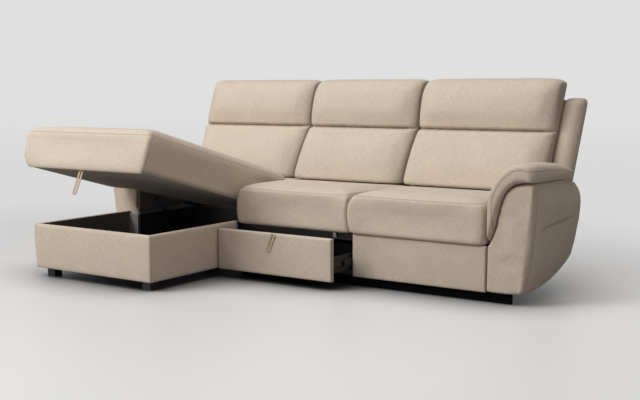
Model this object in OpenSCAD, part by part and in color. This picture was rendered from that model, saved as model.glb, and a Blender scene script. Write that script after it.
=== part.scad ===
// Storage sofa: a chaise with a lift-up seat over a storage box, a middle seat over a drawer,
// and a fixed end seat, between two padded arms.
// X runs along the sofa, the front faces -Y, and the floor is at Z 0.

/* [Seats] */
// Width of one seat
seat_w = 690; // [600:5:760]
// Height of the seat decks above the floor
deck_h = 253; // [240:1:275]
// Height of a seat cushion up to its top seam
cushion_h = 189; // [150:1:215]
// Rise of a seat cushion above its top seam
cushion_crown = 9; // [4:1:30]
// How far a seat cushion stands out past the front panels
cushion_over = 22; // [10:1:30]
// Depth from the front panels to the rear of the base
base_d = 600; // [560:5:680]
// Plan radius of a seat cushion's front corners
cushion_corner = 46; // [20:1:70]

/* [Chaise] */
// How far the chaise box stands out past the front panels
chaise_out = 652; // [500:2:800]
// How far the chaise box reaches past its seat, in front of the arm
chaise_side = 90; // [60:1:130]
// Height of the chaise box's rim above the floor
rim_h = 266; // [256:1:285]
// Depth of the storage box behind the line of the front panels
box_back = 450; // [400:5:460]

/* [Lid] */
// Thickness of the lid at its edges
lid_h = 184; // [150:1:200]
// Gap between the box's rim and the closed lid
lid_gap = 4; // [2:0.5:8]
// How far the lid's front stands out past the box
lid_over = 16; // [0:1:30]
// How far the lid's outer side stands out past the box
lid_side_over = 52; // [0:1:60]
// Angle that the lid is raised by, against its stop
lid_angle = 15; // [8:0.5:15]
// Lean of the lid's front face over its thickness
lid_lean = 16; // [0:1:30]
// Rise of the lid's top above its seam
lid_crown = 20; // [4:1:25]
// Thickness of the board under the lid's cushion
lid_board_t = 18; // [12:1:22]

/* [Drawer] */
// Height of the drawer's front
drawer_front_h = 202; // [180:1:204]
// Outer depth of the drawer's box
drawer_d = 420; // [350:5:440]
// Height of the drawer's sides
drawer_side_h = 76; // [60:1:100]
// How far the drawer stands open
drawer_out = 171; // [0:1:200]
// Gap at each side of the drawer's front
drawer_gap = 6; // [3:0.5:10]

/* [Arms] */
// Width of an arm at its widest
arm_w = 223; // [190:1:250]
// Height of an arm's pad above the floor
arm_h = 624; // [590:1:660]
// Height of the arm's rear bottom corner above the floor
arm_tail_h = 141; // [100:1:170]
// Distance from the arm's front to the outer end of its pad
pad_run = 431; // [380:1:470]

/* [Back] */
// Height of the back cushions' tops above the floor
back_h = 986; // [940:1:1040]
// Height of the back frame's top above the floor
frame_h = 885; // [840:1:920]
// Greatest thickness of a back cushion
back_cushion_t = 150; // [120:1:170]
// Depth of the back frame from front to rear
back_t = 105; // [95:1:130]
// Distance that the back leans by for each unit of height
lean_share = 0.5; // [0.3:0.02:0.6]
// Width of a padded wing at the end of the back
wing_w = 78; // [60:1:90]
// How far the end cushions reach past their seats
cushion_reach = 44; // [30:1:60]

/* [Legs] */
// Height of the legs
leg_h = 50; // [35:1:70]
// Width of a leg
leg_w = 50; // [35:1:60]

/* [Boards and covers] */
// Thickness of the frame's boards
board_t = 15; // [12:1:18]
// Thickness of the upholds that divide the base
wall_t = 18; // [15:1:20]
// Thickness of the padded cover on a board
pad_t = 6; // [4:1:10]
// Thickness of the thin cloths
cloth_t = 1.5; // [1:0.5:2]

/* [Hidden] */

fabric = "#c9b6a4";
shade = "#b7a391";
black = "#26262a";
ply = "#c8a877";
steel = "#8d9196";
zinc = "#b9bdc1";

// One overrun for every cut, one clearance for every loose fit, one for every running fit
over = 2;
clear = 0.4;
run_fit = 0.06;

// Lines along X: the seats' edges, the chaise box's sides and the wings
x_seat = seat_w / 2;
x_end = 1.5 * seat_w;
x_box = x_end + chaise_side;
x_cushion_end = x_end + cushion_reach;
x_wing = x_cushion_end + wing_w;

// Heights and the lines of the back
skirt = 5;
panel_z = leg_h - skirt;
seat_top = deck_h + cushion_h;
back_rear = base_d + back_t;
kink_rise = 5;
kink_z = seat_top + kink_rise;
frame_front = 12;
cover_t = 8;
function back_y(z) = base_d + lean_share * (z - kink_z);

// The origin lies on the floor under the middle of the whole sofa
y_rear = back_y(frame_h) + back_t;
y_front = -chaise_out - lid_over;
y_mid = (y_front + y_rear) / 2;
module placed() {
    translate([0, -y_mid, 0]) children();
}

// The lid turns about a pin behind its cushion, a little below its top seam
hinge_back = 20;
hinge_drop = 34;
hinge_room = 25;
lid_z = rim_h + lid_gap;
hinge_y = box_back - hinge_back;
hinge_z = lid_z + lid_h - hinge_drop;
lid_rear = hinge_y - hinge_room;
lid_side_gap = 8;
notch_top = 52;
notch_foot = 26;
arm_room = 5;
module raised() {
    translate([0, hinge_y, hinge_z]) rotate([-lid_angle, 0, 0])
        translate([0, -hinge_y, -hinge_z]) children();
}

// A box between two corners
module block(a, b) {
    translate(a) cube(b - a);
}

// An outline in Y and Z, drawn out along X from x0 to x1
module along_x(x0, x1) {
    translate([x0, 0, 0]) rotate([90, 0, 90]) linear_extrude(height = x1 - x0) children();
}

// A round bar along X
module bar_x(x0, x1, y, z, r) {
    translate([x0, y, z]) rotate([0, 90, 0]) cylinder(r = r, h = x1 - x0, $fn = 48);
}

// A piece and its mirror image on the other side
module both() {
    children();
    mirror([1, 0, 0]) children();
}

// SOFT FORMS
// A soft form is a stack of rings of points, closed at both ends

// Faces between the rings of a stack, each ring with n points, walked anticlockwise from its far end
function side_faces(n, rings) = [for (k = [0:rings - 2], i = [0:n - 1])
    let (j = (i + 1) % n, a = k * n, b = a + n)
    each [[a + i, b + i, b + j], [a + i, b + j, a + j]]];

// Faces that close a ring from one of its corners, over the places in list
function fan(list, base, up) = [for (i = [1:len(list) - 2])
    up ? [base + list[0], base + list[i + 1], base + list[i]]
       : [base + list[0], base + list[i], base + list[i + 1]]];

// Places from a to b round a ring of n points
function span(a, b, n) = [for (i = [a:(b < a ? b + n : b)]) i % n];

// Closed form from its rings, each end closed by the fans in lists
module stack(rings, lists) {
    n = len(rings[0]);
    last = (len(rings) - 1) * n;
    polyhedron(points = [for (r = rings) each r],
        faces = concat(side_faces(n, len(rings)),
            [for (l = lists) each fan(l, 0, false)],
            [for (l = lists) each fan(l, last, true)]));
}

// Outward directions of the sides of a square-cornered outline, walked anticlockwise
function sides_of(p) = [for (i = [0:len(p) - 1])
    let (d = p[(i + 1) % len(p)] - p[i]) [d.y, -d.x] / norm(d)];

// Points on each corner's arc and along each side between two corners
arc_n = 3;
side_n = 5;
per_corner = arc_n + 1 + side_n;

// A corner set in from its two sides, as its arc's points
function corner_arc(p, i, s, d, r) =
    let (m = len(p), a = s[(i + m - 1) % m], b = s[i],
         hand = a.x * b.y - a.y * b.x > 0 ? 1 : -1,
         v = p[i] - d[(i + m - 1) % m] * a - d[i] * b,
         c = v - hand * r * (a + b), from = atan2(a.y, a.x))
    [for (k = [0:arc_n]) c + hand * r * [cos(from + hand * 90 * k / arc_n),
                                         sin(from + hand * 90 * k / arc_n)]];

// One ring of a cushion: set in by d on each side, its sides swelling by swell between corners
function ring(p, r, d, swell, z) =
    let (s = sides_of(p), m = len(p),
         arcs = [for (i = [0:m - 1]) corner_arc(p, i, s, d, r[i] + round_share * d[i])])
    [for (i = [0:m - 1], k = [0:per_corner - 1])
        let (from = arcs[i][arc_n], to = arcs[(i + 1) % m][0], t = (k - arc_n) / (side_n + 1))
        k <= arc_n ? [arcs[i][k].x, arcs[i][k].y, z]
            : let (q = from + (to - from) * t + s[i] * swell * 4 * t * (1 - t)) [q.x, q.y, z]];
round_share = 0.2;

// Heights of a crowned top as shares of its rise, each with its inset from the edge
crown_inset = 150;
crown_shares = [[0.04, 0.42], [0.16, 0.62], [0.38, 0.82], [0.68, 0.95], [1, 1]];

// CHAISE BOX

// Upholstered walls of the chaise box: a board inside, a padded cover outside
module wall_board(a, b) {
    color(ply) placed() block([a.x, a.y, leg_h], [b.x, b.y, rim_h - cloth_t - clear]);
}
module chaise_front_board() {
    wall_board([-x_box + pad_t, -chaise_out + pad_t], [-x_seat - pad_t, -chaise_out + pad_t + board_t]);
}
side_board_from = -chaise_out + pad_t + board_t;
module chaise_side_board_left() {
    wall_board([-x_box + pad_t, side_board_from], [-x_box + pad_t + board_t, -clear]);
}
module chaise_side_board_right() {
    wall_board([-x_seat - pad_t - board_t, side_board_from], [-x_seat - pad_t, -clear]);
}

// The cover runs round the three walls and turns in over their rims
cover_corner = 12;
module chaise_plan(inset, r) {
    x0 = -x_box + inset;
    x1 = -x_seat - inset;
    y0 = -chaise_out + inset;
    translate([x0 + r, y0]) square([x1 - x0 - 2 * r, -clear - y0]);
    translate([x0, y0 + r]) square([x1 - x0, -clear - y0 - r]);
    for (x = [x0 + r, x1 - r]) translate([x, y0 + r]) circle(r = r, $fn = 48);
}
module chaise_cover() {
    color(fabric) placed() difference() {
        translate([0, 0, panel_z]) linear_extrude(height = rim_h - panel_z) chaise_plan(0, cover_corner);
        block([-x_box + pad_t - clear, -chaise_out + pad_t - clear, panel_z - over],
            [-x_seat - pad_t + clear, over, rim_h - cloth_t]);
        block([-x_box + pad_t + board_t, -chaise_out + pad_t + board_t, panel_z - over],
            [-x_seat - pad_t - board_t, over, rim_h + over]);
    }
}

// Board that closes the box in front of the arm
box_inner = -x_box + pad_t + board_t;
module chaise_return_board() {
    color(black) placed() block([box_inner + clear, -board_t - clear, leg_h], [-x_end, -clear, inner_top]);
}
inner_top = deck_h - clear;
module chaise_inner_board() {
    color(black) placed() block([-x_end, -board_t, leg_h], [-x_end + board_t, box_back, inner_top]);
}
module chaise_rear_board() {
    color(black) placed() block([-x_end, box_back, leg_h], [-x_seat - wall_t, box_back + board_t, inner_top]);
}

// Floor of the storage box, wide in front and narrow beside the arm
floor_t = 10;
module chaise_floor_front() {
    color(black) placed() block([box_inner, side_board_from, leg_h],
        [-x_seat - pad_t - board_t, -board_t - clear, leg_h + floor_t]);
}
module chaise_floor_rear() {
    color(black) placed() block([-x_end + board_t, -board_t - clear, leg_h],
        [-x_seat - pad_t - board_t, box_back, leg_h + floor_t]);
}

// Black lining stapled to the inside of the box's walls
module chaise_lining() {
    z0 = leg_h + floor_t;
    z1 = rim_h - cloth_t;
    x0 = box_inner;
    x1 = -x_seat - pad_t - board_t;
    y0 = side_board_from;
    color(black) placed() {
        block([x0 + cloth_t, y0, z0], [x1 - cloth_t, y0 + cloth_t, z1]);
        block([x0, y0, z0], [x0 + cloth_t, -board_t - clear, z1]);
        block([x1 - cloth_t, y0, z0], [x1, -board_t - clear, z1]);
    }
}

// Ledge behind the lid that carries the left back cushion and the lid's hinges
module chaise_rear_ledge() {
    color(shade) placed() block([-x_end + clear, box_back + hinge_back, divider_top],
        [-x_seat - clear, base_d - clear, seat_top]);
}

// BASE

divider_drop = 2;
divider_top = deck_h - divider_drop;
module base_divider_left() {
    color(black) placed() block([-x_seat - wall_t, clear, leg_h], [-x_seat, base_d - board_t, divider_top]);
}
module base_divider_right() {
    color(black) placed() block([x_seat, pad_t + board_t, leg_h], [x_seat + wall_t, base_d - board_t, divider_top]);
}
module base_end_board() {
    color(black) placed() block([x_end - wall_t, pad_t + board_t, leg_h], [x_end, base_d - board_t, divider_top]);
}
module base_rear_board() {
    color(ply) placed() block([-x_end, base_d - board_t, leg_h], [x_end, base_d, divider_top]);
}
bottom_t = 8;
module base_bottom_board() {
    color(black) placed() {
        block([-x_seat, pad_t + board_t, leg_h], [x_seat, base_d - board_t, leg_h + bottom_t]);
        block([x_seat + wall_t, pad_t + board_t, leg_h], [x_end - wall_t, base_d - board_t, leg_h + bottom_t]);
        block([-x_end, box_back + board_t, leg_h], [-x_seat - wall_t, base_d - board_t, leg_h + bottom_t]);
    }
}
front_rail_h = 24;
module base_front_rail() {
    color(black) placed() block([-x_seat, pad_t + board_t + clear, leg_h + bottom_t],
        [x_seat, pad_t + 2 * board_t, leg_h + front_rail_h]);
}
plinth_set = 14;
module base_plinth() {
    color(black) placed() {
        block([-x_seat, plinth_set + board_t, clear], [x_end, plinth_set + 2 * board_t, leg_h]);
        block([x_end, plinth_set + board_t, clear], [x_end + arm_w / 2, plinth_set + 2 * board_t, panel_z - clear]);
    }
}

// Front panel under the end seat
module right_front_board() {
    color(ply) placed() block([x_seat + pad_t, pad_t, leg_h], [x_end - clear, pad_t + board_t, deck_h - pad_t]);
}
module right_front_cover() {
    color(fabric) placed() difference() {
        block([x_seat, 0, panel_z], [x_end - clear, pad_t + board_t, deck_h - clear]);
        block([x_seat + pad_t - clear, pad_t - clear, panel_z - over], [x_end + over, base_d, deck_h - pad_t + clear]);
    }
}

// Seat decks: a wooden frame between the dividers, with elastic webbing both ways
rail_w = 30;
rail_h = 36;
web_w = 60;
web_t = 1;
rail_top = deck_h - 2 * web_t;
deck_front = 34;
module deck_frame(x0, x1) {
    y1 = base_d - board_t;
    z0 = rail_top - rail_h;
    block([x0, deck_front, z0], [x1, deck_front + rail_w, rail_top]);
    block([x0, y1 - rail_w, z0], [x1, y1, rail_top]);
    block([x0, deck_front + rail_w, z0], [x0 + rail_w, y1 - rail_w, rail_top]);
    block([x1 - rail_w, deck_front + rail_w, z0], [x1, y1 - rail_w, rail_top]);
}
module deck_frame_middle() {
    color(ply) placed() deck_frame(-x_seat, x_seat);
}
module deck_frame_right() {
    color(ply) placed() deck_frame(x_seat + wall_t, x_end - wall_t);
}
straps_long = 6;
straps_cross = 4;
module deck_webbing() {
    y1 = base_d - board_t;
    color(black) placed() for (x = [[-x_seat, x_seat], [x_seat + wall_t, x_end - wall_t]]) {
        pitch = (x[1] - x[0]) / straps_long;
        row = (y1 - deck_front) / straps_cross;
        union() {
            for (i = [0:straps_long - 1])
                translate([x[0] + (i + 0.5) * pitch - web_w / 2, deck_front, rail_top])
                    cube([web_w, y1 - deck_front, web_t]);
            for (i = [0:straps_cross - 1])
                translate([x[0], deck_front + (i + 0.5) * row - web_w / 2, rail_top + web_t])
                    cube([x[1] - x[0], web_w, web_t]);
        }
    }
}

// Seat cushions: straight boxed sides drawn in between the corners, a seam, and a crowned top
cushion_pull = -5;
cushion_rear_corner = 24;
cushion_edge = 12;
seat_side_shares = [[0, 1, 0], [0.04, 0.3, 0.2], [0.12, 0, 0.6], [0.5, 0, 1], [0.86, 0, 0.6], [1, 0.25, 0]];
module seat_cushion(x0, x1) {
    p = [[x0, -cushion_over], [x1, -cushion_over], [x1, base_d - clear], [x0, base_d - clear]];
    r = [cushion_corner, cushion_corner, cushion_rear_corner, cushion_rear_corner];
    n = 4 * per_corner;
    rings = concat(
        [for (s = seat_side_shares)
            ring(p, r, [for (i = p) s[1] * cushion_edge], s[2] * cushion_pull, deck_h + s[0] * cushion_h)],
        [for (s = crown_shares)
            ring(p, r, [for (i = p) cushion_edge / 4 + s[0] * crown_inset], 0, seat_top + s[1] * cushion_crown)]);
    color(fabric) placed() stack(rings, [span(1, 0, n)]);
}
seat_gap = 1.5;
module seat_cushion_middle() {
    seat_cushion(-x_seat + seat_gap, x_seat - seat_gap);
}
module seat_cushion_right() {
    seat_cushion(x_seat + seat_gap, x_end - seat_gap);
}

// ARMS

// Outlines of an arm seen from the front, as shares of its width and height
arm_outer_shares = [[0.62, 0.072], [0.76, 0.076], [0.84, 0.18], [0.92, 0.34], [0.973, 0.495], [1, 0.68],
    [0.991, 0.803]];
arm_seam_shares = [[0.946, 0.859], [0.87, 0.8595], [0.77, 0.858], [0.68, 0.8545], [0.58, 0.846], [0.48, 0.825],
    [0.39, 0.79], [0.33, 0.751], [0.285, 0.706], [0.25, 0.66], [0.215, 0.605], [0.157, 0.514]];
pad_top_shares = [[0.03, 0.57], [0.036, 0.74], [0.085, 0.8], [0.175, 0.861], [0.31, 0.921], [0.484, 0.965],
    [0.69, 0.992], [0.87, 1], [0.97, 0.985], [1.015, 0.95], [1.015, 0.905], [0.985, 0.872]];
arm_in = 2;
seam_in = 7;
function arm_point(s) = [x_end + s.x * arm_w, s.y * arm_h];
arm_foot = [x_end + arm_in, panel_z];
arm_tip = [x_end + seam_in, deck_h];
arm_seam_z = arm_seam_shares[0].y * arm_h;

// Rise of the arm's lower edge and fall of its upper edge along its length, as shares of each
arm_tail_shares = [[0, 0, 1], [0.03, 0, 1], [0.25, 0.02, 0.995], [0.42, 0.1, 0.99], [0.58, 0.23, 0.985],
    [0.74, 0.45, 0.966], [0.8, 0.55, 0.959], [0.9, 0.76, 0.94], [0.97, 0.93, 0.86], [1, 1, 0.79]];
arm_end_inset_shares = [16, 0, 0, 0, 0, 0, 0, 0, 3, 9] / 16;
arm_soft = 16;
arm_len = base_d;

// Moves an outline's point to the arm's lower and upper edges at one place along it
function arm_squeeze(p, s) =
    let (z0 = panel_z + s[1] * (arm_tail_h - panel_z), z1 = panel_z + s[2] * (arm_seam_z - panel_z))
    [p.x, z0 + (p.y - panel_z) * (z1 - z0) / (arm_seam_z - panel_z)];

// Row of arm_tail_shares at one place along the arm
function tail_at(k) = [k, lookup(k, [for (s = arm_tail_shares) [s[0], s[1]]]),
    lookup(k, [for (s = arm_tail_shares) [s[0], s[2]]])];

// Draws a ring in towards its middle by e
function drawn_in(ring, e) =
    let (c = [for (k = [0:1]) (min([for (p = ring) p[k]]) + max([for (p = ring) p[k]])) / 2])
    [for (p = ring) p + (c - p) / norm(c - p) * e];

module arm_body() {
    outline = concat([arm_foot, [x_end + arm_in, (panel_z + deck_h) / 2], [x_end + arm_in, deck_h - seam_in], arm_tip],
        [for (i = [1:len(arm_seam_shares)]) arm_point(arm_seam_shares[len(arm_seam_shares) - i])],
        [for (i = [1:len(arm_outer_shares)]) arm_point(arm_outer_shares[len(arm_outer_shares) - i])],
        [[x_end + arm_w / 3, panel_z]]);
    n = len(outline);
    rings = [for (i = [0:len(arm_tail_shares) - 1])
        let (s = arm_tail_shares[i])
        [for (q = drawn_in([for (p = outline) arm_squeeze(p, s)], arm_end_inset_shares[i] * arm_soft))
            [q.x, s[0] * arm_len, q.y]]];
    apex = len(arm_seam_shares) + len(arm_outer_shares);
    color(fabric) placed() stack(rings, [span(apex, apex - 1, n)]);
}
module arm_body_left() {
    mirror([1, 0, 0]) arm_body();
}
module arm_body_right() {
    arm_body();
}

// The pad wraps the arm's top and falls to a point beside the seat
pad_over = 22;
pad_rise = 1;
pad_soft = 20;
pad_run_shares = [[0, 1.16], [0.35, 1.3], [0.75, 1.24], [0.83, 1.229], [0.9, 1.2], [0.96, 1.151], [1, 1.091], [1.02, 1]];
pad_end_shares = [[0, 1], [0.012, 0.45], [0.04, 0.1], [0.1, 0], [0.3, 0], [0.5, 0], [0.58, 0], [0.64, 0], [0.69, 0],
    [0.75, 0], [0.84, 0], [0.92, 0.15], [0.97, 0.45], [1, 0.95]];
function pad_run_at(x) = pad_run * lookup((x - x_end) / arm_w, pad_run_shares);
module arm_pad() {
    seam = [for (s = arm_seam_shares) arm_point(s) + [0, pad_rise]];
    outline = concat([arm_tip + [0, pad_rise * 2]], [for (s = pad_top_shares) arm_point(s)], seam);
    rings = [for (s = pad_end_shares)
        [for (q = outline)
            let (y = -pad_over + s[0] * (pad_run_at(q.x) + pad_over), p = arm_squeeze(q, tail_at(y / arm_len)))
            [p.x, y, p.y]]];
    soft = [for (i = [0:len(pad_end_shares) - 1]) pad_shrunk(rings[i], pad_end_shares[i][1] * pad_soft)];
    m = len(pad_top_shares);
    color(fabric) placed() stack(soft,
        concat([[0, 1, 2 * m]], [for (i = [1:m - 1]) [i, i + 1, 2 * m - i, 2 * m + 1 - i]]));
}

// Draws the pad's ends in, across its own thickness
function pad_shrunk(ring, e) =
    let (n = len(ring))
    [for (i = [0:n - 1])
        let (p = ring[i], q = ring[i == 0 ? 1 : n - i], d = norm(q - p))
        i == 0 ? p : p + (q - p) / d * min(e, d / 3)];
module arm_pad_left() {
    mirror([1, 0, 0]) arm_pad();
}
module arm_pad_right() {
    arm_pad();
}

// BACK

post_w = 30;
post_rear = back_t - cover_t;
module back_posts() {
    z0 = leg_h + back_foot;
    color(ply) placed() for (x = [-x_end - post_w / 2, -x_seat, x_seat, x_end + post_w / 2])
        along_x(x - post_w / 2, x + post_w / 2) polygon([[base_d + clear, z0], [base_d + post_rear, z0],
            [back_y(kink_z) + post_rear, kink_z], [back_y(frame_h - pad_t) + post_rear, frame_h - pad_t],
            [back_y(frame_h - pad_t) + frame_front, frame_h - pad_t], [back_y(kink_z) + frame_front, kink_z],
            [base_d + clear, kink_z - frame_front]]);
}
back_foot = 20;

// A leaning board along X between two heights, from one depth to another behind the back's front
module leaning(x0, x1, z0, z1, d0, d1) {
    along_x(x0, x1) polygon([[back_y(z0) + d0, z0], [back_y(z0) + d1, z0],
        [back_y(z1) + d1, z1], [back_y(z1) + d0, z1]]);
}

// Rails between the posts at the bottom, the middle and the top of the leaning part
back_rail_h = 60;
back_rail_t = 22;
module back_rails() {
    top = frame_h - pad_t;
    rows = [kink_z + back_rail_h, (kink_z + top) / 2, top];
    color(ply) placed() for (z = rows)
        for (x = [[-x_end, -x_seat - post_w / 2], [-x_seat + post_w / 2, x_seat - post_w / 2],
                  [x_seat + post_w / 2, x_end]])
            leaning(x[0], x[1], z - back_rail_h, z, frame_front, frame_front + back_rail_t);
}
back_straps = 4;
module back_webbing() {
    color(black) placed() for (x = [-seat_w, 0, seat_w], i = [0:back_straps - 1])
        let (mid = x + (i - (back_straps - 1) / 2) * seat_w / (back_straps + 1))
        leaning(mid - web_w / 2, mid + web_w / 2, kink_z, frame_h - pad_t, frame_front - web_t, frame_front);
}

// Covers over the back's rear: an upright panel below and a leaning one above
module back_cover_lower() {
    color(shade) placed() block([-x_cushion_end + clear, base_d + post_rear, leg_h + back_foot],
        [x_cushion_end - clear, back_rear, kink_z - clear]);
}
module back_cover_upper() {
    color(shade) placed() leaning(-x_cushion_end + clear, x_cushion_end - clear, kink_z, frame_h, post_rear, back_t);
}

// Padded wings at the ends of the back, on a block behind the arm
wing_corner = 30;
wing_soft = 14;
wing_side_shares = [[0, 1], [0.06, 0.35], [0.2, 0], [0.5, -0.15], [0.8, 0], [0.94, 0.35], [1, 1]];
module back_wing(hand) {
    p = [[0, kink_z], [back_t, kink_z], [back_t, frame_h], [0, frame_h]];
    r = [wing_corner / 3, wing_corner / 3, wing_corner, wing_corner];
    rings = [for (s = wing_side_shares)
        [for (q = ring(p, r, [for (i = p) s[1] * wing_soft], 0, s[0] * wing_w))
            [hand * (x_cushion_end + q.z), q.x + back_y(q.y), q.y]]];
    n = 4 * per_corner;
    color(fabric) placed() {
        if (hand > 0) stack(rings, [span(1, 0, n)]);
        else mirror([1, 0, 0]) stack([for (k = rings) [for (q = k) [-q.x, q.y, q.z]]], [span(1, 0, n)]);
        block([hand > 0 ? x_end + post_w + clear : -x_wing, base_d + arm_room, arm_tail_h - skirt],
            [hand > 0 ? x_wing : -x_end - post_w - clear, base_d + post_rear, cushion_foot - clear]);
    }
}
module back_wing_left() {
    back_wing(-1);
}
module back_wing_right() {
    back_wing(1);
}

// A back cushion from its foot to its top: height, thickness at the sides and thickness at the middle
back_shares = [[0, 0.42, 0.62], [0.012, 0.54, 0.86], [0.05, 0.62, 0.97], [0.13, 0.64, 1.01], [0.25, 0.62, 0.98],
    [0.38, 0.57, 0.89], [0.474, 0.5, 0.75], [0.508, 0.46, 0.64], [0.528, 0.4, 0.5], [0.548, 0.47, 0.65],
    [0.6, 0.55, 0.79], [0.7, 0.66, 0.92], [0.82, 0.76, 1], [0.92, 0.83, 1.01], [0.97, 0.8, 0.94],
    [0.992, 0.7, 0.8], [1, 0.55, 0.6]];
back_side_shares = [-1, -0.985, -0.94, -0.85, -0.68, -0.45, -0.15, 0.15, 0.45, 0.68, 0.85, 0.94, 0.985, 1];
back_corner_drop = 12;
back_cushion_gap = 0.5;
side_round = 16;
swell_edge_share = 3;
swell_soft_share = 0.55;
corner_drop_share = 8;
side_round_share = 24;
function swell_at(s) = pow(max(0, 1 - pow(abs(s), swell_edge_share)), swell_soft_share);
module back_cushion(x0, x1, foot) {
    m = len(back_shares);
    rings = [for (s = back_side_shares)
        let (x = (x0 + x1) / 2 + s * (x1 - x0) / 2, top = back_h - back_corner_drop * pow(abs(s), corner_drop_share),
             tuck = side_round * pow(abs(s), side_round_share))
        [for (k = [0:2 * m - 1])
            let (b = back_shares[k < m ? k : 2 * m - 1 - k], z = foot + b[0] * (top - foot),
                 rear = back_y(z) + frame_front - web_t - clear,
                 t = back_cushion_t * (b[1] + (b[2] - b[1]) * swell_at(s)) - tuck)
            [x, k < m ? rear : rear - t, z]]];
    color(fabric) placed() stack(rings, [for (i = [0:m - 2]) [i, i + 1, 2 * m - 2 - i, 2 * m - 1 - i]]);
}
cushion_foot = seat_top + cushion_crown + clear;
module back_cushion_left() {
    back_cushion(-x_cushion_end + back_cushion_gap, -x_seat - back_cushion_gap, cushion_foot);
}
module back_cushion_middle() {
    back_cushion(-x_seat + back_cushion_gap, x_seat - back_cushion_gap, cushion_foot);
}
module back_cushion_right() {
    back_cushion(x_seat + back_cushion_gap, x_cushion_end - back_cushion_gap, cushion_foot);
}

// LEGS

leg_in = 38;
leg_bolt_r = 4;
leg_bolt_head = 3;
leg_places = [[-x_box + leg_in, -chaise_out + leg_in], [-x_seat - leg_in - leg_w, -chaise_out + leg_in],
    [-x_end + leg_in, base_d - leg_in - leg_w], [-leg_w / 2, base_d - leg_in - leg_w],
    [-x_seat + leg_in, pad_t + board_t + leg_in], [x_end - leg_in - leg_w, pad_t + board_t + leg_in],
    [x_end - leg_in - leg_w, base_d - leg_in - leg_w]];
module legs() {
    color(black) placed() for (p = leg_places) difference() {
        translate(p) cube([leg_w, leg_w, leg_h]);
        translate(p + [leg_w / 2, leg_w / 2, leg_h / 2]) cylinder(r = leg_bolt_r + run_fit, h = leg_h, $fn = 32);
    }
}
module leg_bolts() {
    color(zinc) placed() for (p = leg_places)
        translate(p + [leg_w / 2, leg_w / 2, leg_h / 2 + clear]) cylinder(r = leg_bolt_r, h = leg_h / 2 - 2 * clear, $fn = 32);
}

// LID

// The lid is wide in front of the arm and narrow beside it
lid_outer = -x_box - lid_side_over;
lid_right = -x_seat - lid_side_gap;
lid_plan = [[lid_outer, y_front], [lid_right, y_front], [lid_right, lid_rear], [-x_end + arm_room, lid_rear],
    [-x_end + arm_room, -notch_foot], [lid_outer, -notch_foot]];
lid_wrap = 10;
lid_corner = 34;
lid_right_corner = 16;
lid_corners = [lid_corner, lid_right_corner, lid_right_corner, lid_right_corner, lid_right_corner, lid_right_corner];
lid_recess = [for (i = [0:5]) lid_wrap + (i == 4 ? notch_top - notch_foot : 0)];
module lid_board() {
    outline = ring(lid_plan, lid_corners, [for (d = lid_recess) d + clear], 0, 0);
    color(ply) placed() raised() translate([0, 0, lid_z])
        linear_extrude(height = lid_board_t) polygon([for (q = outline) [q.x, q.y]]);
}
lid_edge = 10;
lid_pull = -4;
lid_side_shares = [[0.02, 0.35, 0.1], [0.1, 0, 0.5], [0.5, 0, 1], [0.9, 0, 0.5], [1, 0.3, 0]];
module lid_cushion() {
    lean = [lid_lean, 0, 0, 0, notch_top - notch_foot, 0];
    n = 6 * per_corner;
    rings = concat(
        [for (z = [lid_z + lid_board_t, lid_z]) ring(lid_plan, lid_corners, lid_recess, 0, z)],
        [for (s = lid_side_shares)
            ring(lid_plan, lid_corners, [for (i = [0:5]) s[1] * lid_edge + s[0] * lean[i]], s[2] * lid_pull, lid_z + s[0] * lid_h)],
        [for (s = crown_shares)
            ring(lid_plan, lid_corners, [for (i = [0:5]) lid_edge / 3 + lean[i] + s[0] * crown_inset], 0,
                lid_z + lid_h + s[1] * lid_crown)]);
    color(fabric) placed() raised() stack(rings, [span(per_corner + 1, per_corner, n)]);
}

// Black cloth under the lid's board, in front of the struts
lining_in = 24;
lining_rear = 300;
module lid_lining() {
    color(black) placed() raised() translate([0, 0, lid_z - cloth_t]) linear_extrude(height = cloth_t)
        polygon([[lid_outer + lining_in, y_front + lining_in], [lid_right - lining_in, y_front + lining_in],
            [lid_right - lining_in, -notch_top - lining_in], [lid_outer + lining_in, -notch_top - lining_in]]);
}

// HINGES

pin_r = 5;
ear_r = 15;
ear_t = 5;
flange_t = 4;
flange_w = 36;
flange_rise = 30;
hinge_inset = 90;
hinge_x = [-x_end + hinge_inset, -x_seat - hinge_inset];

// Upright ears bolted to the ledge behind the lid
module hinge_uprights() {
    y_face = box_back + hinge_back;
    z0 = deck_h + flange_rise;
    color(steel) placed() for (x = hinge_x) difference() {
        union() {
            along_x(x, x + ear_t) polygon([[hinge_y - ear_r, hinge_z], [y_face - flange_t, z0],
                [y_face - flange_t, hinge_z + ear_r], [hinge_y, hinge_z + ear_r]]);
            bar_x(x, x + ear_t, hinge_y, hinge_z, ear_r);
            block([x - flange_w / 2, y_face - flange_t, z0], [x + flange_w / 2, y_face, hinge_z + ear_r]);
        }
        bar_x(x - over, x + ear_t + over, hinge_y, hinge_z, pin_r + run_fit);
    }
}

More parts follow.
